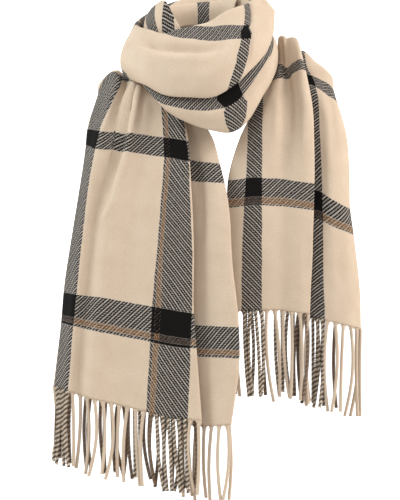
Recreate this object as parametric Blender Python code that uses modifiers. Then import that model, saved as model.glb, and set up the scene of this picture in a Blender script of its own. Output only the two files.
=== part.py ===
"""A blanket scarf as it is worn: a turn round the neck with a deep front loop, and two fringed ends.

Metres, +Z up, the front faces -Y. The origin is the nape, where the scarf's inner turn lies on the
back of the neck. The tables below are in millimetres. Each stretch of the cloth is a loft through
sections worked out from its table, and a Solidify modifier gives it the thickness of the wool.
"""
import math
import random

import bmesh
import bpy
from mathutils import Vector

MM = 0.001
CLOTH = 2.0                 # thickness of the woven wool
SEAM = 0.3                  # parting between a hem and its fringe
TURN_SEAM = 0.9             # parting between the front and the back of the outer turn
NECK_Y = -62.0              # the neck's axis, forward of the nape

STRAND_PITCH = 12.6         # spacing of the fringe strands along the hem
STRAND_WIDE = 4.6           # breadth of a twisted strand
STRAND_DEEP = 4.6           # its depth
STRAND_TIP = 0.7            # share of that at its cut tip
STRAND_STRETCHES = 4        # straight stretches in a strand
STRAND_SWAY = 5.0           # how far neighbouring strands lean together
STRAND_STRAY = 1.2          # how far each strays from them
STRAND_CLEAR = 8.0          # how near two may hang where the hem is folded double
STRAIGHT = 0.93             # how straight the hem is where a strand grows, chord to length
BACKING_TALL = 5.0          # height of the strip that the strands grow from
LEFT_STRAND = 112.0         # length of the strands at the left end
RIGHT_STRAND = 134.0        # length of the strands at the right end

CREAM = (0.72, 0.61, 0.47, 1.0)
SHADE = (0.64, 0.54, 0.41, 1.0)
MARL = (0.45, 0.38, 0.30, 1.0)


def table(columns, *rows):
    """Named columns from a header and a row for each section."""
    return {name: [row[i] for row in rows] for i, name in enumerate(columns.split())}


# The outer turn, by its angle round the neck (degrees, 0 in front, + towards +X), as radius and
# height. rim: top edge. roll: fullest point. crease: where the roll hangs over the lip, and how
# deep it goes in. lip: fullest point under the crease. low: bottom edge.
OUTER_TURN = table(
    "angle  rim_r rim_z  roll_r roll_z  crease_r crease_z crease_in  lip_r lip_z  low_r low_z",
    (-180,    84,   78,    111,    36,      103,       0,        8,   115,  -44,   109,  -88),
    (-140,    86,   62,    112,    24,      103,      -8,        8,   115,  -46,   109,  -84),
    (-110,    95,   42,    116,     2,      108,     -32,        9,   106,  -52,   102,  -68),
    (-82,    101,   25,    124,   -27,      113,     -53,        9,   100,  -57,    94,  -61),
    (-58,     93,   16,    135,   -37,      121,     -60,       10,   106,  -62,    99,  -66),
    (-41,     87,    9,    140,   -44,      129,     -68,       10,   124,  -76,   117,  -80),
    (-25,     83,   15,    142,   -54,      131,     -84,       12,   131,  -98,   118, -109),
    (-8,      84,   20,    142,   -58,      131,     -88,       13,   132, -107,   118, -127),
    (8,       86,   26,    142,   -54,      131,     -87,       13,   133, -112,   118, -137),
    (22,      90,   40,    141,   -36,      131,     -68,       13,   136, -105,   118, -139),
    (34,      92,   48,    138,   -16,      130,     -45,       11,   136,  -85,   115, -124),
    (48,      90,   54,    130,     4,      124,     -22,        9,   132,  -55,   119,  -84),
    (65,      88,   62,    117,    30,      114,       6,        8,   122,  -25,   110,  -62),
    (82,      86,   74,    109,    46,      105,      24,        7,   113,    0,   105,  -48),
    (104,     84,   78,    102,    46,       97,      14,        6,   104,  -16,    99,  -56),
    (140,     84,   80,    109,    40,      101,       6,        8,   113,  -38,   109,  -82),
    (180,     84,   78,    111,    36,      103,       0,        8,   115,  -44,   109,  -88),
)
FRONT_LOOP = (-108.0, 104.0)                    # the angles between which it is the front loop
INNER_LIP = ((-9.0, -36.0), (-9.0, -9.0))       # its hidden inner edge, from the rim
SLOPE = ((0.22, 0.16), (0.48, 0.38), (0.84, 0.66))   # shares of the way from the rim to the roll
CREASE_RISE = 0.8           # how far the crease runs up for each mm that it runs in
UNDER_LIP = (-15.0, 8.0)                        # its hidden lower edge, from the bottom
OUTER_FACES = (1, 2, 2, 1, 2, 2, 3, 2, 2, 2, 2, 2)   # faces to each stretch of the section

# The inner turn, the same way: rim, fullest side and hidden foot.
INNER_TURN = table(
    "angle  rim_r rim_z  side_r side_z  foot_r foot_z",
    (-235,    67,   70,     71,    40,     70,    -4),
    (-180,    67,   66,     71,    36,     70,   -10),
    (-140,    68,   60,     72,    30,     70,   -12),
    (-110,    73,   52,     81,    24,     78,   -14),
    (-82,     77,   49,     88,    24,     84,   -14),
    (-64,     75,   56,     85,    22,     79,   -16),
    (-50,     72,   59,     80,    20,     74,   -18),
    (-40,     70,   40,     76,     6,     71,   -26),
    (-30,     68,   20,     70,   -12,     67,   -40),
    (-18,     67,   -2,     68,   -30,     66,   -56),
)
INNER_NECK = ((-5.0, -34.0), (-4.5, -7.0))      # its side against the neck, from the rim
INNER_FACES = (1, 2, 2, 2, 2)

# The left end up to the shoulder. Each row is a line of the weave across the cloth, "up" from the
# hem, and says where the cloth's main lines cross it. The last columns are the chest's surface at
# the outer line, the middle one and the inner one, the way the cloth faces, and how much of the
# relief, of the pleat and of the shoulder's fullness shows there.
LEFT_CHEST = table(
    "up  out_x out_z  ridge_x ridge_z  dip_x dip_z  rib_x rib_z  band_x band_z"
    "  pleat_x pleat_z  strip_x strip_z  in_x in_z  out_y mid_y in_y  lean  relief  pleat  puff",
    (0, -222, -517, -199, -525, -182, -531, -165, -536, -45, -564, -1, -569, 1, -577, 43, -575,
     -158, -168, -184, 0, 0.45, 0.85, 0),
    (92, -211, -424, -191, -428, -176, -432, -158, -436, -38, -459, -9, -462, -7, -474, 55, -476,
     -162, -172, -188, 0, 0.50, 0.90, 0),
    (136, -207, -378, -186, -381, -170, -383, -152, -385, -37, -405, -13, -409, -10, -427, 54, -429,
     -164, -174, -190, 0, 0.55, 1.00, 0),
    (222, -194, -292, -177, -295, -160, -297, -142, -300, -39, -316, -13, -320, -10, -340, 45, -343,
     -166, -176, -190, 0, 0.50, 1.00, 0),
    (365, -174, -157, -157, -165, -134, -167, -113, -169, -38, -180, -19, -184, -16, -213, 33, -216,
     -152, -162, -178, 0, 0.85, 1.00, 0),
    (392, -172, -133, -150, -138, -130, -140, -111, -141, -38, -150, -21, -153, -18, -181, 26, -187,
     -146, -156, -170, 0, 1.00, 1.00, 0),
    (430, -164, -97, -135, -97, -120, -99, -105, -99, -44, -112, -29, -115, -26, -138, 14, -143,
     -128, -138, -152, 12, 1.10, 0.95, 0),
    (462, -157, -66, -125, -60, -113, -61, -100, -62.3, -48, -84.5, -34, -93, -31, -111, -2, -116,
     -98, -112, -148, 32, 0.80, 0.90, 5),
)
# Over the shoulder and under the turn: only the part outside the rib goes on.
LEFT_SHOULDER = table(
    "up  out_x out_y out_z  ridge_x ridge_y ridge_z  dip_x dip_y dip_z  rib_x rib_y rib_z"
    "  lean  relief  pleat  puff",
    (488, -157, -67, -58, -134, -84, -49, -124, -90, -54, -108, -94, -65, 75, 0.30, 0.9, 5),
    (512, -152, -42, -64, -129, -54, -44, -123, -62, -44, -110, -68, -60, 95, 0.25, 0.9, 4),
    (552, -140, 0, -82, -124, -20, -56, -120, -30, -64, -108, -42, -73, 115, 0.25, 0.9, 2),
    (596, -100, 36, -92, -106, 10, -84, -108, -4, -86, -104, -22, -90, 125, 0.20, 0.9, 0),
    (626, -48, 32, -97, -70, 16, -96, -80, 4, -96, -88, -12, -97, 125, 0.20, 0.9, 0),
)
# Across it, from the selvedge behind the outer side to the selvedge at the centre front: the two
# lines that each place lies between and its share of the way, its shift and its depth behind the
# chest's surface, what scales those two, and the faces to the next place.
LEFT_ACROSS = (
    ("out", "out", 0.00, 14, 56, "side", 2),
    ("out", "out", 0.00, 0, 34, "side", 2),
    ("out", "ridge", 0.42, 0, 13, "puff", 2),
    ("ridge", "ridge", 0.00, 0, -8, "relief", 2),
    ("dip", "dip", 0.00, 0, 7, "relief", 2),
    ("rib", "rib", 0.00, 0, -8, "relief", 2),
    ("rib", "band", 0.30, 0, 2, "relief", 2),
    ("rib", "band", 0.62, 0, 1, "relief", 1),
    ("band", "band", 0.00, 0, -3, "relief", 1),
    ("band", "pleat", 0.60, 0, -5, "relief", 1),
    ("pleat", "pleat", 0.00, 0, -1, "pleat", 1),
    ("pleat", "strip", 0.10, -6, 5, "pleat", 1),
    ("pleat", "strip", 0.40, -30, 6, "pleat", 2),
    ("pleat", "strip", 0.55, -36, 11, "pleat", 2),
    ("pleat", "strip", 0.70, -30, 16, "pleat", 2),
    ("strip", "strip", 0.00, 6, 14, "pleat", 2),
    ("strip", "in", 0.45, 0, 10, "relief", 2),
    ("in", "in", 0.00, 0, 13, "relief", 1),
    ("in", "in", 0.00, -7, 19, "side", 0),
)
LEFT_TO_RIB = 5             # stretches of the section from the selvedge to the rib

# The right end the same way: its pleat laps over the shoulder flap.
RIGHT_CHEST = table(
    "up  in_x in_z  band_x band_z  dip_x dip_z  pleat_x pleat_z  strip_x strip_z"
    "  out_x out_z  in_y mid_y out_y  lean  relief  pleat  puff",
    (0, 36, -407, 74, -405, 118, -405, 160, -411, 164, -415, 238, -433,
     -156, -156, -150, 0, 0.3, 0.60, 0),
    (76, 36, -331, 74, -329, 120, -330, 164, -335, 168, -343, 236, -372,
     -158, -158, -152, 0, 0.3, 0.65, 0),
    (156, 37, -252, 78, -247, 121, -249, 166, -255, 170, -268, 227, -292,
     -158, -158, -152, 0, 0.4, 0.75, 0),
    (198, 39, -211, 78, -207, 121, -209, 167, -216, 171, -227, 222, -254,
     -155, -156, -149, 0, 0.5, 0.85, 0),
    (262, 56, -150, 85, -147, 123, -148, 167, -152, 171, -162, 221, -188,
     -140, -144, -136, 0, 0.6, 1.0, 0),
    (314, 76, -108, 97, -100, 125, -97, 165, -99, 169, -110, 217, -134,
     -116, -126, -118, 10, 0.8, 1.0, 0),
    (362, 92, -78, 108, -62, 126, -52, 156, -47, 161, -60, 206, -86,
     -88, -108, -98, 30, 1.0, 0.9, 0),
    (388, 109.2, -52, 117, -36, 129, -34, 153, -31, 158, -42, 200, -63,
     -56, -94, -84, 50, 0.8, 0.8, 0),
)
RIGHT_SHOULDER = table(
    "up  in_x in_y in_z  band_x band_y band_z  dip_x dip_y dip_z  pleat_x pleat_y pleat_z"
    "  strip_x strip_y strip_z  out_x out_y out_z  lean  relief  pleat  puff",
    (434, 113, -42, -14, 119, -58, 7, 129, -62, 11, 145, -62, 1,
     151, -62, -5, 196, -58, -46, 85, 0.6, 0.60, 0),
    (484, 112, -20, -40, 121, -22, -18, 131, -20, -16, 141, -16, -27,
     157, -8, -43, 174, 2, -66, 110, 0.3, 0.10, 0),
    (530, 104, -14, -74, 111, -3, -72, 117, 6, -72, 120, 16, -76,
     120, 30, -82, 114, 46, -92, 120, 0.10, 0.0, 0),
    (566, 88, -16, -88, 84, -3, -90, 78, 8, -92, 68, 19, -94,
     58, 28, -95, 44, 36, -97, 120, 0.1, 0.0, 0),
)
RIGHT_ACROSS = (
    ("in", "in", 0.00, 0, 6, "side", 2),
    ("in", "band", 0.50, 0, 1, "relief", 2),
    ("band", "band", 0.00, 0, -4, "relief", 2),
    ("band", "dip", 0.50, 0, -1, "relief", 2),
    ("dip", "dip", 0.00, 0, 9, "relief", 2),
    ("dip", "pleat", 0.45, 0, -2, "relief", 2),
    ("dip", "pleat", 0.85, 0, -7, "relief", 1),
    ("pleat", "pleat", 0.00, 0, -1, "pleat", 1),
    ("pleat", "strip", 0.10, -5, 5, "pleat", 1),
    ("pleat", "strip", 0.40, -24, 7, "pleat", 2),
    ("pleat", "strip", 0.55, -30, 12, "pleat", 2),
    ("pleat", "strip", 0.70, -24, 17, "pleat", 2),
    ("strip", "strip", 0.00, 6, 14, "pleat", 2),
    ("strip", "out", 0.45, 0, 8, "relief", 2),
    ("strip", "out", 0.85, 0, 12, "side", 2),
    ("out", "out", 0.00, 0, 27, "side", 2),
    ("out", "out", 0.00, -10, 46, "side", 0),
)


def blend(keys, values, at):
    """A smooth curve through values at keys, its slope at each key taken from both neighbours."""
    last = len(keys) - 1
    i = min(max(sum(key <= at for key in keys) - 1, 0), last - 1)

    def slope(j):
        if j in (0, last):
            a, b = (0, 1) if j == 0 else (last - 1, last)
            return (values[b] - values[a]) / (keys[b] - keys[a])
        before, after = keys[j] - keys[j - 1], keys[j + 1] - keys[j]
        rise = (values[j] - values[j - 1]) / before
        fall = (values[j + 1] - values[j]) / after
        return (rise * after + fall * before) / (before + after)

    span = keys[i + 1] - keys[i]
    u = (at - keys[i]) / span
    return (values[i] * (2 * u**3 - 3 * u**2 + 1) + slope(i) * (span * (u**3 - 2 * u**2 + u))
            + values[i + 1] * (3 * u**2 - 2 * u**3) + slope(i + 1) * (span * (u**3 - u**2)))


def thread(points, faces):
    """Points along a smooth line through the given ones, with that many faces to each stretch."""
    lengths = distances(points)
    line = []
    for i, count in enumerate(faces):
        for j in range(count):
            line.append(blend(lengths, points, lengths[i] + j / count * (lengths[i + 1] - lengths[i])))
    return line + [points[len(faces)].copy()]


def distances(points):
    along = [0.0]
    for before, after in zip(points, points[1:]):
        along.append(along[-1] + (after - before).length)
    return along


def place_on(along, line, at):
    """The place at a distance along a line of straight stretches."""
    i = min(max(sum(start <= at for start in along) - 1, 0), len(line) - 2)
    return line[i].lerp(line[i + 1], (at - along[i]) / (along[i + 1] - along[i]))


def spread(first, last, count):
    return [first + (last - first) * i / count for i in range(count + 1)]


def turn_row(rows, angle):
    """The radius and height of each named place of a turn's section, at an angle round the neck."""
    value = {name: blend(rows["angle"], column, angle) for name, column in rows.items()}
    return value, {name[:-2]: Vector((value[name], value[name[:-2] + "_z"]))
                   for name in rows if name.endswith("_r")}


def around_neck(angle, section):
    """Stands a section of radius and height at an angle round the neck."""
    turn = math.radians(angle)
    return [Vector((p.x * math.sin(turn), NECK_Y - p.x * math.cos(turn), p.y)) for p in section]


def outer_section(angle):
    """The outer turn's section, from its hidden inner edge over the rim and roll to its foot."""
    value, place = turn_row(OUTER_TURN, (angle + 180.0) % 360.0 - 180.0)
    rim, roll, crease, lip, low = (place[name] for name in ("rim", "roll", "crease", "lip", "low"))
    hollow = crease + Vector((-1.0, CREASE_RISE)) * value["crease_in"]
    slope = [rim + Vector((out, down)) * (roll - rim) for out, down in SLOPE]
    inner = [rim + Vector(step) for step in INNER_LIP]
    points = [*inner, rim, *slope, roll, crease, hollow, hollow.lerp(lip, 0.45), lip, low,
              low + Vector(UNDER_LIP)]
    return around_neck(angle, thread(points, OUTER_FACES))


def inner_section(angle):
    """The inner turn's section, from the neck's side over its rim to its foot."""
    _, place = turn_row(INNER_TURN, angle)
    neck = [place["rim"] + Vector(step) for step in INNER_NECK]
    shoulder = place["rim"].lerp(place["side"], 0.55) + Vector((1.5, 4.0))
    points = [*neck, place["rim"], shoulder, place["side"], place["foot"]]
    return around_neck(angle, thread(points, INNER_FACES))


def line_names(rows):
    return [name[:-2] for name in rows if name.endswith("_x")]


def chest_lines(rows, middle):
    """Each main line of an end as points in space, its depth read off the chest's surface."""
    lines = {}
    for name in line_names(rows):
        lines[name] = []
        for i, (x, z) in enumerate(zip(rows[name + "_x"], rows[name + "_z"])):
            out_x, mid_x, in_x = rows["out_x"][i], rows[middle + "_x"][i], rows["in_x"][i]
            outer = abs(x - out_x) <= abs(mid_x - out_x)
            edge_x, edge_y = (out_x, rows["out_y"][i]) if outer else (in_x, rows["in_y"][i])
            share = (x - edge_x) / (mid_x - edge_x)
            lines[name].append(Vector((x, edge_y + share * (rows["mid_y"][i] - edge_y), z)))
    return lines


def end_lines(chest, shoulder, middle):
    """The lines of an end from its hem to the turn, and the columns that scale its relief."""
    lines = chest_lines(chest, middle)
    for name in line_names(shoulder):
        columns = zip(*(shoulder[name + axis] for axis in ("_x", "_y", "_z")))
        lines[name] += [Vector(point) for point in columns]
    scales = {name: chest[name] + shoulder[name] for name in ("up", "lean", "relief", "pleat", "puff")}
    return lines, scales


def end_section(end, across, up, stretches=None):
    """A section across an end, at a distance up from its hem, or its first few stretches."""
    lines, scales = end
    scale = {name: blend(scales["up"], column, up) for name, column in scales.items()}
    lean = math.radians(scale["lean"])
    inward = Vector((0.0, math.cos(lean), -math.sin(lean)))
    scale["side"] = 0.15 + 0.85 * max(math.cos(lean), 0.0)
    places = across if stretches is None else across[:stretches + 1]
    points = []
    for first, second, share, shift, depth, kind, _ in places:
        start, stop = (blend(scales["up"][:len(lines[name])], lines[name], up) for name in (first, second))
        size = scale["side"] if kind == "puff" else scale[kind]
        rise = scale["puff"] if kind == "puff" else 0.0
        points.append(start.lerp(stop, share) + Vector((shift * size, 0.0, 0.0))
                      + inward * (depth * size - rise))
    return thread(points, [place[-1] for place in places][:-1])


def loft(name, sections, colour):
    """The open surface through a run of sections, thickened to the cloth. A later section may be
    narrower than the first ones: there the surface goes on for its width only."""
    rings = [[point * MM for point in section] for section in sections]
    starts = [sum(len(ring) for ring in rings[:i]) for i in range(len(rings))]
    faces = []
    for i, (ring, after) in enumerate(zip(rings, rings[1:])):
        a, b = starts[i], starts[i + 1]
        faces += [(a + j, a + j + 1, b + j + 1, b + j) for j in range(min(len(ring), len(after)) - 1)]
    mesh = bpy.data.meshes.new(name)
    mesh.from_pydata([point for ring in rings for point in ring], [], faces)
    mesh.shade_smooth()
    piece = add_piece(name, mesh, colour)
    wall = piece.modifiers.new("wool", "SOLIDIFY")
    wall.thickness = CLOTH * MM
    wall.offset = 0.0
    return piece


def add_piece(name, mesh, colour):
    """An object in the scarf's collection, with a woollen material of its own."""
    piece = bpy.data.objects.new(name, mesh)
    scarf.objects.link(piece)
    material = bpy.data.materials.new(name + "_wool")
    material.use_nodes = True
    shader = material.node_tree.nodes["Principled BSDF"]
    shader.inputs["Base Color"].default_value = colour
    shader.inputs["Roughness"].default_value = 0.9
    shader.inputs["Metallic"].default_value = 0.0
    mesh.materials.append(material)
    return piece


def backing_strip(form, along, line, starts):
    """The strip under a hem, a column of corners at each bend of the hem and at both sides of each
    strand. Returns its face under each strand."""
    bends = [bend for bend in along if not any(-1.0 < bend - start < STRAND_WIDE + 1.0 for start in starts)]
    edges = sorted({0.0, along[-1], *bends, *starts, *(start + STRAND_WIDE for start in starts)})
    columns = []
    for edge in edges:
        ahead, behind = place_on(along, line, edge + 0.5), place_on(along, line, edge - 0.5)
        face = Vector((ahead.y - behind.y, behind.x - ahead.x, 0.0)).normalized() * (CLOTH / 2)
        top = place_on(along, line, edge) - Vector((0.0, 0.0, SEAM))
        low = top - Vector((0.0, 0.0, BACKING_TALL))
        corners = (top + face, top - face, low - face, low + face)
        columns.append([form.verts.new(corner * MM) for corner in corners])
    form.faces.new(columns[0][::-1])
    form.faces.new(columns[-1])
    roots = []
    for a, b, edge in zip(columns, columns[1:], edges):
        sides = [form.faces.new((a[j], a[(j + 1) % 4], b[(j + 1) % 4], b[j])) for j in range(4)]
        if edge in starts:
            roots.append(sides[2])
    return roots


def pull_strand(form, root, length, sway, bow):
    """Draws a strand down out of the strip's face, a stretch at a time."""
    face, top = root, root.calc_center_median()
    run = (root.verts[3].co - root.verts[0].co).normalized()
    for step in range(1, STRAND_STRETCHES + 1):
        share = step / STRAND_STRETCHES
        middle = face.calc_center_median()
        face = bmesh.ops.extrude_discrete_faces(form, faces=[face])["faces"][0]
        aside = sway * share**2 + bow * math.sin(math.pi * share)
        centre = top + Vector((aside, 0.0, -length * share)) * MM
        for corner in face.verts:
            offset = corner.co - middle
            if step == 1:
                along = run * offset.dot(run)
                offset = along + (offset - along) * (STRAND_DEEP / CLOTH)
            if step == STRAND_STRETCHES:
                offset = offset * STRAND_TIP
            corner.co = centre + offset


def strand_places(along, line):
    """The strands' places along a hem: evenly spaced, none on a sharp bend or hard by another."""
    count = int((along[-1] - STRAND_WIDE) / STRAND_PITCH)
    first = (along[-1] - (count - 1) * STRAND_PITCH) / 2
    centres = []
    for i in range(count):
        at = first + i * STRAND_PITCH
        here, start, stop = (place_on(along, line, at + half * STRAND_WIDE) for half in (0.0, -0.5, 0.5))
        others = [place_on(along, line, other) for other in centres]
        straight = (stop - start).length > STRAIGHT * STRAND_WIDE
        if straight and all((here - other).length > STRAND_CLEAR for other in others):
            centres.append(at)
    return centres


def fringe(name, end, across, length, seed):
    """The strands under a hem, all growing from one narrow strip parted from the cloth's edge."""
    line = end_section(end, across, 0.0)
    along = distances(line)
    centres = strand_places(along, line)
    form = bmesh.new()
    roots = backing_strip(form, along, line, [centre - STRAND_WIDE / 2 for centre in centres])
    chance = random.Random(seed)
    for centre, root in zip(centres, roots):
        x = place_on(along, line, centre).x
        sway = STRAND_SWAY * math.sin(x / 37.0 + seed) + chance.uniform(-1, 1) * STRAND_STRAY
        stretch = 1.0 + 0.02 * math.sin(x / 23.0) + chance.uniform(-0.02, 0.02)
        pull_strand(form, root, length * stretch, sway, chance.uniform(-1, 1) * STRAND_STRAY)
    bmesh.ops.recalc_face_normals(form, faces=form.faces)
    mesh = bpy.data.meshes.new(name)
    form.to_mesh(mesh)
    form.free()
    return add_piece(name, mesh, MARL)


def front_loop():
    sections = [outer_section(angle) for angle in spread(*FRONT_LOOP, 25)]
    return loft("front_loop", sections, CREAM)


def back_turn():
    parting = math.degrees(TURN_SEAM / OUTER_TURN["rim_r"][0])
    first, last = FRONT_LOOP[1] + parting, FRONT_LOOP[0] + 360.0 - parting
    return loft("back_turn", [outer_section(angle) for angle in spread(first, last, 13)], CREAM)


def inner_turn():
    first, last = INNER_TURN["angle"][0], INNER_TURN["angle"][-1]
    return loft("inner_turn", [inner_section(angle) for angle in spread(first, last, 21)], SHADE)


def left_end():
    end = end_lines(LEFT_CHEST, LEFT_SHOULDER, "rib")
    turn_in, top = LEFT_CHEST["up"][-1], LEFT_SHOULDER["up"][-1]
    sections = [end_section(end, LEFT_ACROSS, up) for up in spread(0.0, turn_in, 16)]
    sections += [end_section(end, LEFT_ACROSS, up, LEFT_TO_RIB) for up in spread(turn_in, top, 9)[1:]]
    loft("left_end", sections, CREAM)
    fringe("left_fringe", end, LEFT_ACROSS, LEFT_STRAND, 3)


def right_end():
    end = end_lines(RIGHT_CHEST, RIGHT_SHOULDER, "dip")
    sections = [end_section(end, RIGHT_ACROSS, up) for up in spread(0.0, RIGHT_SHOULDER["up"][-1], 22)]
    loft("right_end", sections, CREAM)
    fringe("right_fringe", end, RIGHT_ACROSS, RIGHT_STRAND, 5)


for old in list(bpy.data.objects):
    bpy.data.objects.remove(old)
scarf = bpy.data.collections.new("blanket_scarf")
bpy.context.scene.collection.children.link(scarf)
front_loop()
back_turn()
inner_turn()
left_end()
right_end()
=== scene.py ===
# %% [markdown]
# # A blanket scarf as it is worn
# One woven length of brushed wool goes round the neck in a deep loop, and its two ends hang down
# the front in a twisted fringe. This lesson dresses a measured model of it. The solids that are
# loaded here give every size, and each soft piece below is laid over the solid that it replaces.

# %% The measured model
import math
import random

import bmesh
import bpy
import numpy as np
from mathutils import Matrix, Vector


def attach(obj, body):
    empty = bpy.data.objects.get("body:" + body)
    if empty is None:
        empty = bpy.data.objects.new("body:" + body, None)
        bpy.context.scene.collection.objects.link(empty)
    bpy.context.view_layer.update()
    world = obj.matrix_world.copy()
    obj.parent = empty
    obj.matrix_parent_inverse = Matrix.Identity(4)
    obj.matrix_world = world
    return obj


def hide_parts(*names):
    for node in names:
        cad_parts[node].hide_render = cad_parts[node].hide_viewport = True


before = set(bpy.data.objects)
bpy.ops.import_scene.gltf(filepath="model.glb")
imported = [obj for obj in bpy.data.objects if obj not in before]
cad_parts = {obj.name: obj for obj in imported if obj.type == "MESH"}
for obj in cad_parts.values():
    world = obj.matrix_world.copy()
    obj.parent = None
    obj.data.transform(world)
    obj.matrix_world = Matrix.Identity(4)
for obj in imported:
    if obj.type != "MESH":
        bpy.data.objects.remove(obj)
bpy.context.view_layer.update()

print("solids:", ", ".join(sorted(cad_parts)))

# %% [markdown]
# ## Sizes
# A garment is drawn from a few measures and a few lines: where its edges run, where its folds
# stand out, how deep they go. They are kept in small tables with a row for each station and a
# column for each line, in millimetres. A smooth curve through the rows fills in the rest, so a
# fold can be moved by changing one number.

# %% Sizes of the cloth, in millimetres
MM = 0.001
CLOTH = 2.0                 # thickness of the woven wool
GRID = 3.0                  # spacing of the points that carry the cloth's form
NECK_Y = -62.0              # the neck's axis, forward of the nape
FRINGE_LEFT = 112.0         # length of the strands at the left end
FRINGE_RIGHT = 134.0        # and at the right end
STRAND_PITCH = 12.6         # from one strand to the next along the hem
STRAND_CLEAR = 8.0          # how near two may hang where the hem is folded double


def table(columns, *rows):
    """Named columns from a header and a row for each station."""
    return {name: np.array(column, float) for name, column in zip(columns.split(), zip(*rows))}


def read_off(rows, at):
    """The other columns of a table, in straight lines between its rows, at a value of its first."""
    first, *others = rows
    return [np.interp(at, rows[first], rows[name]) for name in others]


# %% The outer turn: radius and height of its lines, by the angle round the neck
OUTER_TURN = table(
    "angle  rim_r rim_z  roll_r roll_z  crease_r crease_z crease_in  lip_r lip_z  low_r low_z",
    (-220,    84,   80,    109,    40,      101,       6,        8,   113,  -38,   109,  -82),
    (-180,    84,   78,    111,    36,      103,       0,        8,   115,  -44,   109,  -88),
    (-140,    86,   62,    112,    24,      103,      -8,        8,   115,  -46,   109,  -84),
    (-110,    95,   42,    116,     2,      108,     -32,        9,   106,  -52,   102,  -68),
    (-82,    101,   25,    124,   -27,      113,     -53,        9,   100,  -57,    94,  -61),
    (-58,     93,   16,    135,   -37,      121,     -60,       10,   106,  -62,    99,  -66),
    (-41,     87,    9,    140,   -44,      129,     -68,       10,   124,  -76,   117,  -80),
    (-25,     83,   15,    142,   -54,      131,     -84,       12,   131,  -98,   118, -109),
    (-8,      84,   20,    142,   -58,      131,     -88,       13,   132, -107,   118, -127),
    (8,       86,   26,    142,   -54,      131,     -87,       13,   133, -112,   118, -137),
    (22,      90,   40,    141,   -36,      131,     -68,       13,   136, -105,   118, -139),
    (34,      92,   48,    138,   -16,      130,     -45,       11,   136,  -85,   115, -124),
    (48,      90,   54,    130,     4,      124,     -22,        9,   132,  -55,   119,  -84),
    (65,      88,   62,    117,    30,      114,       6,        8,   122,  -25,   110,  -62),
    (82,      86,   74,    109,    46,      105,      24,        7,   113,    0,   105,  -48),
    (104,     84,   78,    102,    46,       97,      14,        6,   104,  -16,    99,  -56),
    (140,     84,   80,    109,    40,      101,       6,        8,   113,  -38,   109,  -82),
    (180,     84,   78,    111,    36,      103,       0,        8,   115,  -44,   109,  -88),
    (220,     86,   62,    112,    24,      103,      -8,        8,   115,  -46,   109,  -84),
)
INNER_LIP = np.array(((-9.0, -36.0), (-9.0, -9.0)))  # the hidden inner edge, from the rim
SLOPE = ((0.22, 0.16), (0.48, 0.38), (0.84, 0.66))   # shares of the way from the rim to the roll
CREASE_RISE = 0.8           # how far the crease runs up for each mm that it runs in
UNDER_LIP = np.array((-15.0, 8.0))                   # the hidden lower edge, from the bottom

# %% The inner turn: rim, fullest side and hidden foot
INNER_TURN = table(
    "angle  rim_r rim_z  side_r side_z  foot_r foot_z",
    (-235,    67,   70,     71,    40,     70,    -4),
    (-180,    67,   66,     71,    36,     70,   -10),
    (-140,    68,   60,     72,    30,     70,   -12),
    (-110,    73,   52,     81,    24,     78,   -14),
    (-82,     77,   49,     88,    24,     84,   -14),
    (-64,     75,   56,     85,    22,     79,   -16),
    (-50,     72,   59,     80,    20,     74,   -18),
    (-40,     70,   40,     76,     6,     71,   -26),
    (-30,     68,   20,     70,   -12,     67,   -40),
    (-18,     67,   -2,     68,   -30,     66,   -56),
)
INNER_NECK = np.array(((-5.0, -34.0), (-4.5, -7.0)))  # its side against the neck, from the rim

# %% The left end: rows of the weave across the cloth, by their distance up from the hem
LEFT_CHEST = table(
    "up  out_x out_z  ridge_x ridge_z  dip_x dip_z  rib_x rib_z  band_x band_z"
    "  pleat_x pleat_z  strip_x strip_z  in_x in_z  out_y mid_y in_y  lean  relief  pleat  puff",
    (0, -222, -517, -199, -525, -182, -531, -165, -536, -45, -564, -1, -569, 1, -577, 43, -575,
     -158, -168, -184, 0, 0.45, 0.85, 0),
    (92, -211, -424, -191, -428, -176, -432, -158, -436, -38, -459, -9, -462, -7, -474, 55, -476,
     -162, -172, -188, 0, 0.50, 0.90, 0),
    (136, -207, -378, -186, -381, -170, -383, -152, -385, -37, -405, -13, -409, -10, -427, 54, -429,
     -164, -174, -190, 0, 0.55, 1.00, 0),
    (222, -194, -292, -177, -295, -160, -297, -142, -300, -39, -316, -13, -320, -10, -340, 45, -343,
     -166, -176, -190, 0, 0.50, 1.00, 0),
    (365, -174, -157, -157, -165, -134, -167, -113, -169, -38, -180, -19, -184, -16, -213, 33, -216,
     -152, -162, -178, 0, 0.85, 1.00, 0),
    (392, -172, -133, -150, -138, -130, -140, -111, -141, -38, -150, -21, -153, -18, -181, 26, -187,
     -146, -156, -170, 0, 1.00, 1.00, 0),
    (430, -164, -97, -135, -97, -120, -99, -105, -99, -44, -112, -29, -115, -26, -138, 14, -143,
     -128, -138, -152, 12, 1.10, 0.95, 0),
    (462, -157, -66, -125, -60, -113, -61, -100, -62.3, -48, -84.5, -34, -93, -31, -111, -2, -116,
     -98, -112, -148, 32, 0.80, 0.90, 5),
)
LEFT_SHOULDER = table(
    "up  out_x out_y out_z  ridge_x ridge_y ridge_z  dip_x dip_y dip_z  rib_x rib_y rib_z"
    "  lean  relief  pleat  puff",
    (488, -157, -67, -58, -134, -84, -49, -124, -90, -54, -108, -94, -65, 75, 0.30, 0.9, 5),
    (512, -152, -42, -64, -129, -54, -44, -123, -62, -44, -110, -68, -60, 95, 0.25, 0.9, 4),
    (552, -140, 0, -82, -124, -20, -56, -120, -30, -64, -108, -42, -73, 115, 0.25, 0.9, 2),
    (596, -100, 36, -92, -106, 10, -84, -108, -4, -86, -104, -22, -90, 125, 0.20, 0.9, 0),
    (626, -48, 32, -97, -70, 16, -96, -80, 4, -96, -88, -12, -97, 125, 0.20, 0.9, 0),
)
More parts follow.
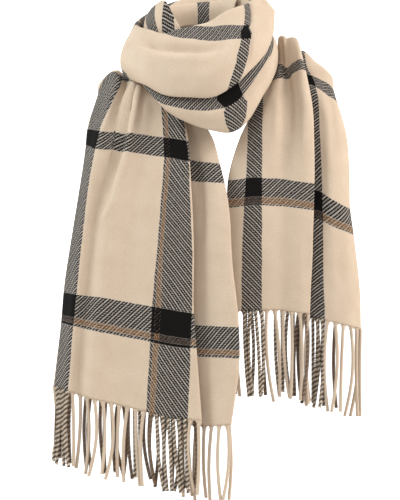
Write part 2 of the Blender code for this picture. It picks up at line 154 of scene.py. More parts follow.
# Across it, from selvedge to selvedge: between which lines each place lies and its share of the
# way, its shift and its depth behind the chest's surface, and what scales those two.
LEFT_ACROSS = (
    ("out", "out", 0.00, 14, 56, "side"),
    ("out", "out", 0.00, 0, 34, "side"),
    ("out", "ridge", 0.42, 0, 13, "puff"),
    ("ridge", "ridge", 0.00, 0, -8, "relief"),
    ("dip", "dip", 0.00, 0, 7, "relief"),
    ("rib", "rib", 0.00, 0, -8, "relief"),
    ("rib", "band", 0.30, 0, 2, "relief"),
    ("rib", "band", 0.62, 0, 1, "relief"),
    ("band", "band", 0.00, 0, -3, "relief"),
    ("band", "pleat", 0.60, 0, -5, "relief"),
    ("pleat", "pleat", 0.00, 0, -1, "pleat"),
    ("pleat", "strip", 0.10, -6, 5, "pleat"),
    ("pleat", "strip", 0.40, -30, 6, "pleat"),
    ("pleat", "strip", 0.55, -36, 11, "pleat"),
    ("pleat", "strip", 0.70, -30, 16, "pleat"),
    ("strip", "strip", 0.00, 6, 14, "pleat"),
    ("strip", "in", 0.45, 0, 10, "relief"),
    ("in", "in", 0.00, 0, 13, "relief"),
    ("in", "in", 0.00, -7, 19, "side"),
)
LEFT_OVER_SHOULDER = LEFT_ACROSS[:6]   # only the places from the selvedge to the rib go on over it

# %% The right end, the same way: its pleat laps over the shoulder flap
RIGHT_CHEST = table(
    "up  in_x in_z  band_x band_z  dip_x dip_z  pleat_x pleat_z  strip_x strip_z"
    "  out_x out_z  in_y mid_y out_y  lean  relief  pleat  puff",
    (0, 36, -407, 74, -405, 118, -405, 160, -411, 164, -415, 238, -433,
     -156, -156, -150, 0, 0.3, 0.60, 0),
    (76, 36, -331, 74, -329, 120, -330, 164, -335, 168, -343, 236, -372,
     -158, -158, -152, 0, 0.3, 0.65, 0),
    (156, 37, -252, 78, -247, 121, -249, 166, -255, 170, -268, 227, -292,
     -158, -158, -152, 0, 0.4, 0.75, 0),
    (198, 39, -211, 78, -207, 121, -209, 167, -216, 171, -227, 222, -254,
     -155, -156, -149, 0, 0.5, 0.85, 0),
    (262, 56, -150, 85, -147, 123, -148, 167, -152, 171, -162, 221, -188,
     -140, -144, -136, 0, 0.6, 1.0, 0),
    (314, 76, -108, 97, -100, 125, -97, 165, -99, 169, -110, 217, -134,
     -116, -126, -118, 10, 0.8, 1.0, 0),
    (362, 92, -78, 108, -62, 126, -52, 156, -47, 161, -60, 206, -86,
     -88, -108, -98, 30, 1.0, 0.9, 0),
    (388, 109.2, -52, 117, -36, 129, -34, 153, -31, 158, -42, 200, -63,
     -56, -94, -84, 50, 0.8, 0.8, 0),
)
RIGHT_SHOULDER = table(
    "up  in_x in_y in_z  band_x band_y band_z  dip_x dip_y dip_z  pleat_x pleat_y pleat_z"
    "  strip_x strip_y strip_z  out_x out_y out_z  lean  relief  pleat  puff",
    (434, 113, -42, -14, 119, -58, 7, 129, -62, 11, 145, -62, 1,
     151, -62, -5, 196, -58, -46, 85, 0.6, 0.60, 0),
    (484, 112, -20, -40, 121, -22, -18, 131, -20, -16, 141, -16, -27,
     157, -8, -43, 174, 2, -66, 110, 0.3, 0.10, 0),
    (530, 104, -14, -74, 111, -3, -72, 117, 6, -72, 120, 16, -76,
     120, 30, -82, 114, 46, -92, 120, 0.10, 0.0, 0),
    (566, 88, -16, -88, 84, -3, -90, 78, 8, -92, 68, 19, -94,
     58, 28, -95, 44, 36, -97, 120, 0.1, 0.0, 0),
)
RIGHT_ACROSS = (
    ("in", "in", 0.00, 0, 6, "side"),
    ("in", "band", 0.50, 0, 1, "relief"),
    ("band", "band", 0.00, 0, -4, "relief"),
    ("band", "dip", 0.50, 0, -1, "relief"),
    ("dip", "dip", 0.00, 0, 9, "relief"),
    ("dip", "pleat", 0.45, 0, -2, "relief"),
    ("dip", "pleat", 0.85, 0, -7, "relief"),
    ("pleat", "pleat", 0.00, 0, -1, "pleat"),
    ("pleat", "strip", 0.10, -5, 5, "pleat"),
    ("pleat", "strip", 0.40, -24, 7, "pleat"),
    ("pleat", "strip", 0.55, -30, 12, "pleat"),
    ("pleat", "strip", 0.70, -24, 17, "pleat"),
    ("strip", "strip", 0.00, 6, 14, "pleat"),
    ("strip", "out", 0.45, 0, 8, "relief"),
    ("strip", "out", 0.85, 0, 12, "side"),
    ("out", "out", 0.00, 0, 27, "side"),
    ("out", "out", 0.00, -10, 46, "side"),
)
print(len(OUTER_TURN["angle"]), "stations round the neck,", len(LEFT_CHEST["up"]), "up the left end")

# %% [markdown]
# ## From lines to cloth
# Each line of the tables is read as a smooth curve, and a section across the cloth is threaded
# through the lines that it crosses. A run of sections makes a grid of points. Cloth could also be
# draped by a simulation, but a worn scarf has been pulled and tucked by hand, so its form is set
# out here as a tailor would describe it.

# %% Smooth curves
def blend(keys, values, at):
    """A smooth curve through values at keys, read at one place or at many."""
    keys, values, at = (np.asarray(part, float) for part in (keys, values, at))
    per_row = (-1,) + (1,) * (values.ndim - 1)
    spans = np.diff(keys).reshape(per_row)
    steep = np.diff(values, axis=0) / spans
    slopes = np.repeat(steep[:1], len(keys), axis=0)
    slopes[-1] = steep[-1]
    slopes[1:-1] = (steep[:-1] * spans[1:] + steep[1:] * spans[:-1]) / (spans[1:] + spans[:-1])
    i = np.clip(np.searchsorted(keys, at, side="right") - 1, 0, len(keys) - 2)
    span = np.diff(keys)[i]
    u = (at - keys[i]) / span
    if values.ndim > 1 and at.ndim:
        u, span = u[:, None], span[:, None]
    return (values[i] * (2 * u**3 - 3 * u**2 + 1) + slopes[i] * span * (u**3 - 2 * u**2 + u)
            + values[i + 1] * (3 * u**2 - 2 * u**3) + slopes[i + 1] * span * (u**3 - u**2))


def distances(points):
    """How far along a line of points each one lies."""
    steps = np.linalg.norm(np.diff(points, axis=0), axis=1)
    return np.concatenate([[0.0], np.cumsum(steps)])


roll_at_10 = blend(OUTER_TURN["angle"], OUTER_TURN["roll_r"], 10.0)
print("radius of the roll 10 degrees past the front:", round(float(roll_at_10), 1), "mm")


# %% Sections threaded into a grid
def thread(points, counts):
    """Points along a smooth line through the given ones, so many to each stretch."""
    along = distances(points)
    at = [np.linspace(a, b, n, endpoint=False) for a, b, n in zip(along, along[1:], counts)]
    return blend(along, points, np.concatenate([*at, along[-1:]]))


def grid_of(sections):
    """A row of points for each section, spaced to the cloth's grid. A shorter section leaves the
    rest of its row empty. Also gives where each named place falls along a row."""
    spans = np.zeros(max(len(points) for points in sections) - 1)
    for points in sections:
        steps = np.linalg.norm(np.diff(points, axis=0), axis=1)
        spans[:len(steps)] = np.maximum(spans[:len(steps)], steps)
    counts = np.maximum(np.ceil(spans / GRID), 1).astype(int)
    grid = np.full((len(sections), counts.sum() + 1, 3), np.nan)
    for row, points in zip(grid, sections):
        line = thread(points, counts[:len(points) - 1])
        row[:len(line)] = line
    return grid, np.concatenate([[0], np.cumsum(counts)])


# %% Sections of the turns
def turn_places(rows, angle):
    """The columns of a turn at an angle round the neck, and its places as radius and height."""
    value = {name: float(blend(rows["angle"], column, angle)) for name, column in rows.items()}
    return value, {name[:-2]: np.array((value[name], value[name[:-2] + "_z"]))
                   for name in rows if name.endswith("_r")}


def around_neck(angle, section):
    """Stands a section of radius and height at an angle round the neck."""
    turn = math.radians(angle)
    return np.array([(r * math.sin(turn), NECK_Y - r * math.cos(turn), z) for r, z in section])


# The numbers of the outer section's places, in the order that the next function gives them.
RIM, ROLL, CREASE, HOLLOW, LIP, LOW, UNDER = 2, 6, 7, 8, 10, 11, 12


def outer_places(angle):
    """The outer turn's section, from its hidden inner edge over the roll and round the lip."""
    value, place = turn_places(OUTER_TURN, angle)
    rim, roll, crease, lip, low = (place[name] for name in ("rim", "roll", "crease", "lip", "low"))
    hollow = crease + np.array((-1.0, CREASE_RISE)) * value["crease_in"]
    slope = [rim + np.array(share) * (roll - rim) for share in SLOPE]
    return around_neck(angle, [*(rim + INNER_LIP), rim, *slope, roll, crease, hollow,
                               hollow + 0.45 * (lip - hollow), lip, low, low + UNDER_LIP])


def inner_places(angle):
    """The inner turn's section, from its side against the neck over the rim to its hidden foot."""
    _, place = turn_places(INNER_TURN, angle)
    rim, side, foot = place["rim"], place["side"], place["foot"]
    shoulder = rim + 0.55 * (side - rim) + np.array((1.5, 4.0))
    return around_neck(angle, [*(rim + INNER_NECK), rim, shoulder, side, foot])


print("one section of the outer turn:", len(outer_places(0.0)), "places")


# %% Sections of the ends
def end_lines(chest, shoulder, middle):
    """The lines of an end from its hem to the turn, and the columns that scale its relief. On the
    chest, y is given at both edges and the middle line, and runs straight between them."""
    out_x, mid_x, in_x = chest["out_x"], chest[middle + "_x"], chest["in_x"]
    lines = {}
    for name in (column[:-2] for column in chest if column.endswith("_x")):
        x = chest[name + "_x"]
        outer = np.abs(x - out_x) <= np.abs(mid_x - out_x)
        edge_x, edge_y = np.where(outer, (out_x, chest["out_y"]), (in_x, chest["in_y"]))
        y = edge_y + (x - edge_x) / (mid_x - edge_x) * (chest["mid_y"] - edge_y)
        lines[name] = np.stack([x, y, chest[name + "_z"]], axis=1)
        if name + "_x" in shoulder:
            crown = np.stack([shoulder[name + axis] for axis in ("_x", "_y", "_z")], axis=1)
            lines[name] = np.concatenate([lines[name], crown])
    scales = {name: np.concatenate([chest[name], shoulder[name]])
              for name in ("up", "lean", "relief", "pleat", "puff")}
    return lines, scales


def end_places(end, across, up):
    """The places across an end, at a distance up from its hem."""
    lines, scales = end
    scale = {name: float(blend(scales["up"], column, up)) for name, column in scales.items()}
    lean = math.radians(scale["lean"])
    inward = np.array((0.0, math.cos(lean), -math.sin(lean)))
    scale["side"] = 0.15 + 0.85 * max(math.cos(lean), 0.0)
    points = []
    for first, second, share, shift, depth, kind in across:
        start, stop = (blend(scales["up"][:len(lines[name])], lines[name], up)
                       for name in (first, second))
        size, rise = (scale["side"], scale["puff"]) if kind == "puff" else (scale[kind], 0.0)
        points.append(start + share * (stop - start) + np.array((shift * size, 0.0, 0.0))
                      + inward * (depth * size - rise))
    return np.array(points)


def rows_between(first, last):
    """Distances up an end, a step of the grid apart."""
    return np.linspace(first, last, int(math.ceil(abs(last - first) / GRID)) + 1)


print("rows on the left end's chest:", len(rows_between(0.0, LEFT_CHEST["up"][-1])))

# %% [markdown]
# ## Coordinates woven into the cloth
# The check belongs to the cloth and follows it into every fold, so each piece gets UV maps that
# measure the cloth itself: u across its width and v along its length, in metres. One map is true
# to size everywhere and carries the yarns. The other carries the stripes: where a stripe has to
# pass through a given place it is pinned there, as a tailor lets the check shift at a fold.

# %% A map pinned to places along a line
def pinned(along, pins):
    """Cloth coordinates of points along a line, from pairs of a distance and its coordinate."""
    at, to = (np.array(column, float) for column in zip(*sorted(pins)))
    inside = np.interp(along, at, to)
    return inside + np.minimum(along - at[0], 0.0) + np.maximum(along - at[-1], 0.0)


def row_distances(grid):
    """How far along its row each point lies."""
    steps = np.linalg.norm(np.diff(grid, axis=1), axis=2)
    return np.concatenate([np.zeros((len(grid), 1)), np.cumsum(steps, axis=1)], axis=1)


print("5 mm past a pin at 30, the cloth is at", pinned(25.0, [(0, 0), (20, 30)]))

# %% [markdown]
# ## Creases listed one by one
# Worn wool is never smooth between its main folds: it has soft troughs and ridges where it was
# pulled, and they differ in length and depth. Each is a line on the cloth's own map with a depth
# and a breadth, pressed into the surface along its normals and fading out at both ends.

# %% Pressing creases into a surface
def normals_of(grid, closed):
    """The way that each point of a grid faces."""
    across = np.gradient(grid, axis=1)
    if closed:
        wide = np.concatenate([grid[-2:-1], grid, grid[1:2]])
        up = np.gradient(wide, axis=0)[1:-1]
    else:
        up = np.gradient(grid, axis=0)
    facing = np.cross(across, up)
    return facing / np.maximum(np.linalg.norm(facing, axis=2, keepdims=True), 1e-9)


def crease_depth(u, v, depth, breadth, head, tail, line):
    """How deep a crease is at each point of the map. Its line has a few (u, v) places, and it
    fades out over the head and the tail, as shares of its length."""
    line = np.array(line, float)
    starts = distances(line)
    nearest, along = np.full(u.shape, np.inf), np.zeros(u.shape)
    for (u0, v0), (u1, v1), start in zip(line, line[1:], starts):
        run = math.hypot(u1 - u0, v1 - v0)
        at = np.clip(((u - u0) * (u1 - u0) + (v - v0) * (v1 - v0)) / run, 0.0, run)
        off = np.hypot(u - u0 - at * (u1 - u0) / run, v - v0 - at * (v1 - v0) / run)
        closer = off < nearest
        nearest, along = np.where(closer, off, nearest), np.where(closer, start + at, along)
    share = along / starts[-1]
    fade = np.clip(share / max(head, 0.01), 0, 1) * np.clip((1 - share) / max(tail, 0.01), 0, 1)
    fade = fade * fade * (3 - 2 * fade)
    return depth * fade * np.exp(-(nearest / breadth) ** 2)


def press(grid, u, v, creases, closed):
    """Moves a surface in along its creases, or out where their depth is negative."""
    fall = sum(crease_depth(u, v, *crease) for crease in creases)
    return grid - normals_of(grid, closed) * fall[..., None]


beside = crease_depth(np.array([3.0]), np.array([50.0]), 4.0, 6.0, 0.2, 0.2, ((0, 0), (0, 100)))
print("3 mm beside a crease 4 mm deep and 6 mm broad:", round(float(beside[0]), 1), "mm deep")

# %% [markdown]
# ## From grid to cloth
# A grid becomes a sheet of faces, and a Solidify modifier gives it the wool's thickness, half to
# each side, as the measured solid has it. A turn that goes all the way round is closed: its last
# row of points is its first.

# %% Making a piece of cloth
def new_object(name, data):
    """An object in the scene, at the origin and unturned."""
    item = bpy.data.objects.new(name, data)
    bpy.context.collection.objects.link(item)
    return item


def quads_of(there, number):
    """The faces between the points that are there, and the row and column of each corner."""
    quads, corners = [], []
    for r in range(there.shape[0] - 1):
        for c in range(there.shape[1] - 1):
            ring = ((r, c), (r, c + 1), (r + 1, c + 1), (r + 1, c))
            if all(there[place] for place in ring):
                quads.append([number[place] for place in ring])
                corners += ring
    return quads, np.array(corners)


def cloth_piece(name, grid, maps, creases=(), closed=False):
    """A piece from its grid, its maps in mm, "check" for the stripes and "weave" for the yarns,
    and the creases pressed into it."""
    if creases:
        grid = press(grid, *maps["check"], creases, closed)
    there = ~np.isnan(grid[..., 0])
    number = np.full(there.shape, -1)
    number[there] = np.arange(there.sum())
    used = there.copy()
    if closed:
        number[-1], used[-1] = number[0], False
    quads, at = quads_of(there, number)
    mesh = bpy.data.meshes.new(name)
    mesh.from_pydata(grid[used] * MM, [], quads)
    for kind, pair in maps.items():
        layer = mesh.uv_layers.new(name=kind)
        values = np.stack([part[at[:, 0], at[:, 1]] for part in pair], axis=1) * MM
        layer.uv.foreach_set("vector", values.ravel())
    mesh.shade_smooth()
    piece = new_object(name, mesh)
    wall = piece.modifiers.new("wool", "SOLIDIFY")
    wall.thickness, wall.offset = CLOTH * MM, 0.0
    print(name, len(quads), "faces before it gets its thickness")
    return piece


# %% [markdown]
# ## The outer turn
# The turn crosses the front as a fat roll that hangs over a lip of the same cloth. Its two dark
# stripes run round it, and one crosses it from the rim to the foot. A check laid out true to size
# would come out a little off at each fold, so the map is pinned to the stripes' edges instead, at
# each angle round the neck.

# %% The outer turn's stripes
ROUND = 784.0               # its length round, a whole number of yarns
ROUND_RIGHT = 350.0         # how much of that lies from the crossing stripe round to the back
A_WIDE, B_WIDE = 28.0, 30.0   # the upper stripe and the lower one
C_WIDE, AB_GAP = 24.0, 126.0  # the crossing stripe, and the cream between the other two
IN_HOLLOW = 4.0             # how far the lower stripe may reach up past the hollow
PAST_CROSSING = 1.5         # how far past the crossing stripe the upper one is tucked in, in degrees
TUCK_MOST, TUCK_ENDS = 100.0, 150.0   # how deep in mm, a mm less to each degree up to this angle
# Distances from the rim of the upper stripe's edges, and of the lower one's foot from the lip.
TURN_STRIPES = table(
    "angle  a_top a_foot  b_foot",
    (-220, 26, 54, -20),
    (-180, 10, 38, -14),
    (-120, -16, 12, -6),
    (-60, -44, -16, -16),
    (-42, -29, -1, 3),
    (-21, -6, 22, 0),
    (-6.5, 3, 31, 0),
    (7.5, 12, 41, -4),
    (21, 26, 56, -9),
    (34, 39, 65, -18),
    (48, 40, 66, -19),
    (65, 38, 64, -13),
    (100, 32, 60, -22),
    (140, 26, 54, -20),
    (180, 10, 38, -14),
    (220, -8, 20, -8),
)
# The crossing stripe's two edges, as angles, by the place along the section: 0 the rim, 1 the
# roll, 2 the crease, 3 the hollow behind it, 4 the lip, 5 the foot.
CROSSING = table(
    "place  left right",
    (0.00, 43, 52),
    (0.47, 31.7, 38),
    (0.55, 27.9, 34.4),
    (0.72, 25.8, 34.1),
    (0.90, 21.7, 30.7),
    (1.20, 19.5, 29),
    (1.50, 17.2, 26.7),
    (1.95, 15.8, 23.4),
    (3.00, 12, 25.5),
    (3.50, 10, 26.4),
    (3.90, 14.6, 28),
    (4.00, 13.4, 29.5),
    (4.50, 15.8, 29.5),
    (5.00, 21, 27),
)

# %% The outer turn's grid and map
turn_angles = np.linspace(-180.0, 180.0, int(ROUND / GRID) + 1)
turn, stops = grid_of([outer_places(angle) for angle in turn_angles])
turn_distances = row_distances(turn)
down = turn_distances - turn_distances[:, stops[RIM], None]
stripes = {name: blend(TURN_STRIPES["angle"], column, turn_angles)
           for name, column in TURN_STRIPES.items()}
b_foot = down[:, stops[LIP]] + stripes["b_foot"]
b_top = np.maximum(b_foot - B_WIDE, down[:, stops[HOLLOW]] - IN_HOLLOW)


def stripes_along(tuck):
    """u over the turn, with the upper stripe moved up by an amount for each row."""
    b_low = A_WIDE + AB_GAP
    return np.array([
        pinned(line, ((top - up, 0), (foot - up, A_WIDE), (low, b_low), (end, b_low + B_WIDE)))
        for line, top, foot, low, end, up
        in zip(down, stripes["a_top"], stripes["a_foot"], b_top, b_foot, tuck)])


places = np.interp(np.arange(turn.shape[1]), stops[[RIM, ROLL, CREASE, HOLLOW, LIP, LOW, UNDER]],
                   (0, 1, 2, 3, 4, 5, 5.4))
# Past the crossing stripe the cloth is folded under, and the upper stripe runs inside the rim.
turn_u = stripes_along(0.0 * turn_angles)
tucked_u = stripes_along(np.clip(TUCK_ENDS - turn_angles, 0.0, TUCK_MOST))
turn_v = np.empty(turn.shape[:2])
for column, place in enumerate(places):
    left, right = read_off(CROSSING, place)
    turn_v[:, column] = np.interp(turn_angles, (-180, left, right, 180),
                                  (ROUND_RIGHT - ROUND, 0, C_WIDE, ROUND_RIGHT))
    past = turn_angles > right + PAST_CROSSING
    turn_u[past, column] = tucked_u[past, column]
turned = np.radians(turn_angles)[:, None]
turn_radius = np.hypot(turn[..., 0], turn[..., 1] - NECK_Y)
mean_radius = ROUND / (2.0 * math.pi)
turn_maps = {"check": (turn_u, turn_v),
             "weave": (down, mean_radius * turned + (turn_radius - mean_radius) * np.sin(turned))}
print("the outer turn:", turn.shape[0], "rows of", turn.shape[1], "points")

# %% [markdown]
# ## The inner turn
# The first turn of the scarf stands against the neck, inside the loop, and only its upper part
# shows, beside the chin. It is made like the outer one, from fewer lines, and is open at both
# ends, which are hidden between the neck and the loop. Two stripes cross it, close together.

# %% The inner turn's grid and map
INNER_ROWS = 120
INNER_RADIUS = 76.0         # its mean radius, which turns angles into lengths
INNER_SPREAD = 1.4          # mm of the check to each degree, outside its pins
# The edges of the two stripes that cross it, as angles, by the distance down from the rim.
INNER_STRIPES = table(
    "down  b_left b_right  a_left a_right",
    (0, -85, -64, -50, -37),
    (10, -82, -62, -50, -35),
    (45, -66, -54, -49, -27),
    (90, -60, -48, -47, -22),
)
INNER_V = (-42, -18, 0, 24)   # where the check has those four edges
inner_angles = np.linspace(INNER_TURN["angle"][0], INNER_TURN["angle"][-1], INNER_ROWS)
inner, inner_stops = grid_of([inner_places(angle) for angle in inner_angles])
inner_distances = row_distances(inner)
inner_u = inner_distances - inner_distances[:, inner_stops[RIM], None]
inner_v = np.empty(inner.shape[:2])
for row, angle in enumerate(inner_angles):
    for column, at in enumerate(inner_u[row]):
        edges = read_off(INNER_STRIPES, at)
        outside = min(angle - edges[0], 0.0) + max(angle - edges[-1], 0.0)
        inner_v[row, column] = np.interp(angle, edges, INNER_V) + INNER_SPREAD * outside
inner_along = np.radians(inner_angles)[:, None] * INNER_RADIUS
inner_maps = {"check": (inner_u, inner_v),
              "weave": (inner_u, np.repeat(inner_along, inner.shape[1], axis=1))}
print("the inner turn:", inner.shape[0], "rows of", inner.shape[1], "points")

# %% [markdown]
# ## The two ends
# Each end hangs from the shoulder in a few long folds. Its rows are lines of the weave, so v is
# simply the distance up from the hem, and u is pinned where the long stripes run. The stripe along
# the left selvedge goes round the side, and further up more and more of it turns to the front.

# %% Maps of the ends
def end_maps(grid, ups, middle, pins_of):
    """The maps of an end. v is the distance up from the hem. u is pinned row by row for the
    stripes, and true to size from a middle column for the yarns."""
    along = row_distances(grid)
    u = np.full(grid.shape[:2], np.nan)
    for row, up in enumerate(ups):
        u[row] = pinned(along[row], pins_of(row, up, along[row]))
    v = np.repeat(ups[:, None], grid.shape[1], axis=1)
    return {"check": (u, v), "weave": (along - along[:, middle, None], v)}


def reach(grid, row, along, x, first, last):
    """How far along its row the cloth crosses x, between two columns."""
    return np.interp(x, grid[row, first:last, 0], along[first:last])


# %% The left end's grid and map
RIDGE, LEFT_PLEAT = 3, 10   # the numbers of two of its places, in LEFT_ACROSS
# Where the wide stripe runs: the start of its camel part, the start of its dark part, its end.
LEFT_STRIPES = table(
    "up  camel_x  dark_x  end_x",
    (0, -83, -68, -21),
    (136, -74, -58, -15),
    (222, -66, -56, -14.5),
    (365, -56, -45, -19.8),
    (462, -62, -52, -34),
)
STRIPE_U = (104, 119, 164)  # where the check has those three
# The stripe along the selvedge: how far past the ridge it ends, and how wide it lies.
OUTER_BAND = table(
    "up  past wide",
    (0, 0, 42),
    (360, -1, 42),
    (400, -3, 43),
    (437, 1, 60),
    (462, 6, 74),
    (488, 70, 82),
    (512, 124, 82),
    (626, 124, 82),
)
BAND_U = (-42, 0)
left_lines = end_lines(LEFT_CHEST, LEFT_SHOULDER, "rib")
left_top = LEFT_CHEST["up"][-1]
left_ups = np.concatenate([rows_between(0.0, left_top),
                           rows_between(left_top, LEFT_SHOULDER["up"][-1])[1:]])
left, left_stops = grid_of([
    end_places(left_lines, LEFT_OVER_SHOULDER if up > left_top else LEFT_ACROSS, up)
    for up in left_ups])


def left_pins(row, up, along):
    """Both edges of the stripe at the selvedge, and on the chest the wide stripe as well."""
    past, wide = read_off(OUTER_BAND, up)
    edge = past + along[left_stops[RIDGE]]
    outer = list(zip((edge - wide, edge), BAND_U))
    if up > left_top:
        return outer
    first, last = left_stops[RIDGE], left_stops[LEFT_PLEAT] + 1
    return outer + [(reach(left, row, along, x, first, last), to)
                    for x, to in zip(read_off(LEFT_STRIPES, up), STRIPE_U)]


left_maps = end_maps(left, left_ups, left_stops[RIDGE], left_pins)
print("the left end:", left.shape[0], "rows of", left.shape[1], "points")

# %% The right end's grid and map
DIP, RIGHT_PLEAT, STRIP, OUT = 4, 7, 12, 15   # the numbers of four of its places
# Where both edges of the inner stripe run, and the outer edge of the other.
RIGHT_STRIPES = table(
    "up  in_left in_right  out_right",
    (0, 58.5, 89.4, 184),
    (76, 59.5, 89.4, 181.5),
    (140, 62, 89.4, 181.5),
    (216, 66.8, 89.4, 180),
    (275, 69, 90, 178),
    (314, 69, 92.3, 177),
    (345, 82.5, 93, 175.5),
    (388, 96, 106, 166),
)
# Over the shoulder the outer stripe draws in by so much for each mm up, until it goes behind.
DRAW_IN, DRAW_IN_MOST = 0.9, 34.0
right_lines = end_lines(RIGHT_CHEST, RIGHT_SHOULDER, "dip")
right_top = RIGHT_CHEST["up"][-1]
right_ups = rows_between(0.0, RIGHT_SHOULDER["up"][-1])
right, right_stops = grid_of([end_places(right_lines, RIGHT_ACROSS, up) for up in right_ups])


def right_pins(row, up, along):
    """Over the shoulder the pins stay where the top of the chest has them."""
    in_left, in_right, out_right = read_off(RIGHT_STRIPES, min(up, right_top))
    row = min(row, int(np.searchsorted(right_ups, right_top)))
    drawn_in = min(DRAW_IN * max(up - right_top, 0.0), DRAW_IN_MOST)
    line = row_distances(right[row:row + 1])[0]
    return [(reach(right, row, line, in_left, 0, right_stops[RIGHT_PLEAT]), 0),
            (reach(right, row, line, in_right, 0, right_stops[RIGHT_PLEAT]), 26),
            (reach(right, row, line, out_right, right_stops[STRIP], right_stops[OUT]) - drawn_in, 176)]


right_maps = end_maps(right, right_ups, right_stops[DIP], right_pins)
print("the right end:", right.shape[0], "rows of", right.shape[1], "points")

# %% [markdown]
# ## Where the creases lie
# Each row is one crease: its depth, its breadth, the shares of its length over which it fades at
# its head and its tail, and its line on the map. A negative depth stands out as a ridge. A deep
# trough looks right only with a softer ridge beside it, so they often come in pairs.

# %% The creases
TURN_CREASES = (
    (9.0, 9.0, 0.25, 0.35, ((64, -190), (58, -150), (51, -107), (49, -73), (47, -51), (43, -31),
                            (37, -13))),
    (-5.0, 10.0, 0.15, 0.35, ((86, -176), (84, -128), (74, -83), (67, -49), (59, -21))),
    (3.6, 5.0, 0.15, 0.40, ((-60, 30), (0, 29), (40, 28), (80, 27), (120, 26))),
    (-2.4, 7.0, 0.15, 0.40, ((-60, 44), (0, 43), (40, 42), (80, 41), (120, 40))),
    (1.4, 11.0, 0.40, 0.40, ((104, -140), (110, -90), (104, -30))),
    (1.6, 6.5, 0.40, 0.40, ((198, -70), (203, -30), (206, 10))),
    (2.6, 8.0, 0.30, 0.50, ((58, 60), (72, 105), (84, 160))),
    (-1.8, 7.0, 0.40, 0.40, ((90, 80), (102, 130), (108, 190))),
    (2.2, 8.0, 0.40, 0.30, ((150, 100), (158, 150), (150, 220))),
    (3.0, 9.0, 0.30, 0.40, ((52, 200), (64, 260), (58, 340))),
    (2.4, 10.0, 0.40, 0.30, ((110, 230), (98, 290), (104, 345))),
    (2.8, 9.0, 0.30, 0.40, ((60, -430), (48, -370), (56, -300), (52, -250))),
    (2.2, 8.0, 0.40, 0.40, ((112, -420), (120, -350), (108, -270))),
    (2.0, 7.0, 0.40, 0.40, ((168, -400), (160, -330), (170, -250))),
    (-1.6, 7.0, 0.40, 0.40, ((90, -240), (100, -200), (96, -160))),
)
LEFT_CREASES = (
    (-3.8, 5.0, 0.15, 0.12, ((57, 458), (57, 440), (57, 415), (54, 390), (50, 364), (46, 338),
                             (42, 312), (40, 286), (32, 262), (24, 240))),
    (8.5, 6.5, 0.10, 0.55, ((46, 468), (46, 444), (46, 428), (46, 410), (45, 394), (41, 374),
                            (37, 350), (33, 320), (30, 288), (22, 262))),
    (-9.0, 14.0, 0.25, 0.55, ((26, 470), (26, 430), (25, 395), (21, 350), (17, 290))),
    (-5.0, 12.0, 0.25, 0.60, ((76, 455), (76, 420), (73, 385), (70, 340))),
    (-1.5, 7.0, 0.40, 0.40, ((14, 190), (15, 120), (13, 40))),
    (1.4, 10.0, 0.50, 0.50, ((72, 300), (68, 230), (74, 160))),
    (1.6, 9.0, 0.50, 0.30, ((46, 110), (50, 60), (47, 5))),
    (-1.2, 9.0, 0.40, 0.40, ((94, 130), (90, 70), (92, 10))),
    (1.3, 8.0, 0.40, 0.40, ((140, 330), (144, 260), (138, 190))),
    (2.2, 7.0, 0.30, 0.50, ((262, 400), (268, 330), (262, 240))),
    (-1.6, 8.0, 0.30, 0.50, ((290, 380), (292, 300), (286, 200))),
    (1.6, 8.0, 0.40, 0.30, ((282, 180), (276, 100), (280, 20))),
    (2.4, 8.0, 0.30, 0.40, ((-18, 470), (-14, 510), (-22, 560))),
    (1.8, 7.0, 0.40, 0.40, ((-52, 380), (-56, 300), (-50, 210))),
    (1.8, 8.0, 0.40, 0.40, ((-60, 170), (-54, 100), (-58, 30))),
)
RIGHT_CREASES = (
    (4.4, 5.5, 0.15, 0.55, ((66, 440), (66, 405), (68, 370), (70, 340), (68, 300), (68, 240))),
    (-1.8, 7.0, 0.30, 0.50, ((46, 350), (46, 300), (48, 220))),
    (-1.8, 6.0, 0.30, 0.50, ((88, 380), (88, 320), (86, 220))),
    (1.4, 9.0, 0.50, 0.40, ((60, 190), (66, 130), (62, 60))),
    (1.5, 8.0, 0.40, 0.30, ((104, 160), (100, 90), (104, 10))),
    (2.0, 8.0, 0.30, 0.50, ((196, 400), (202, 330), (200, 230))),
    (1.6, 8.0, 0.40, 0.40, ((208, 190), (202, 120), (208, 30))),
    (2.4, 8.0, 0.30, 0.40, ((150, 470), (140, 510), (146, 550))),
)
print("creases:", len(TURN_CREASES), "on the turn,", len(LEFT_CREASES), "on the left end,",
      len(RIGHT_CREASES), "on the right end")

# %% The four cloth pieces
outer_turn = cloth_piece("scarf_turn", turn, turn_maps, TURN_CREASES, closed=True)
inner_piece = cloth_piece("scarf_inner_turn", inner, inner_maps)
left_piece = cloth_piece("scarf_left_end", left, left_maps, LEFT_CREASES)
right_piece = cloth_piece("scarf_right_end", right, right_maps, RIGHT_CREASES)

# %% [markdown]
# ## Node trees from plain sums
# A woven pattern is mostly arithmetic on u and v, and it reads best as arithmetic. The small class
# below wraps one output of a node tree, so that an expression adds the Math nodes for it. Colours
# go through Mix nodes instead, because a Math node would turn them grey.

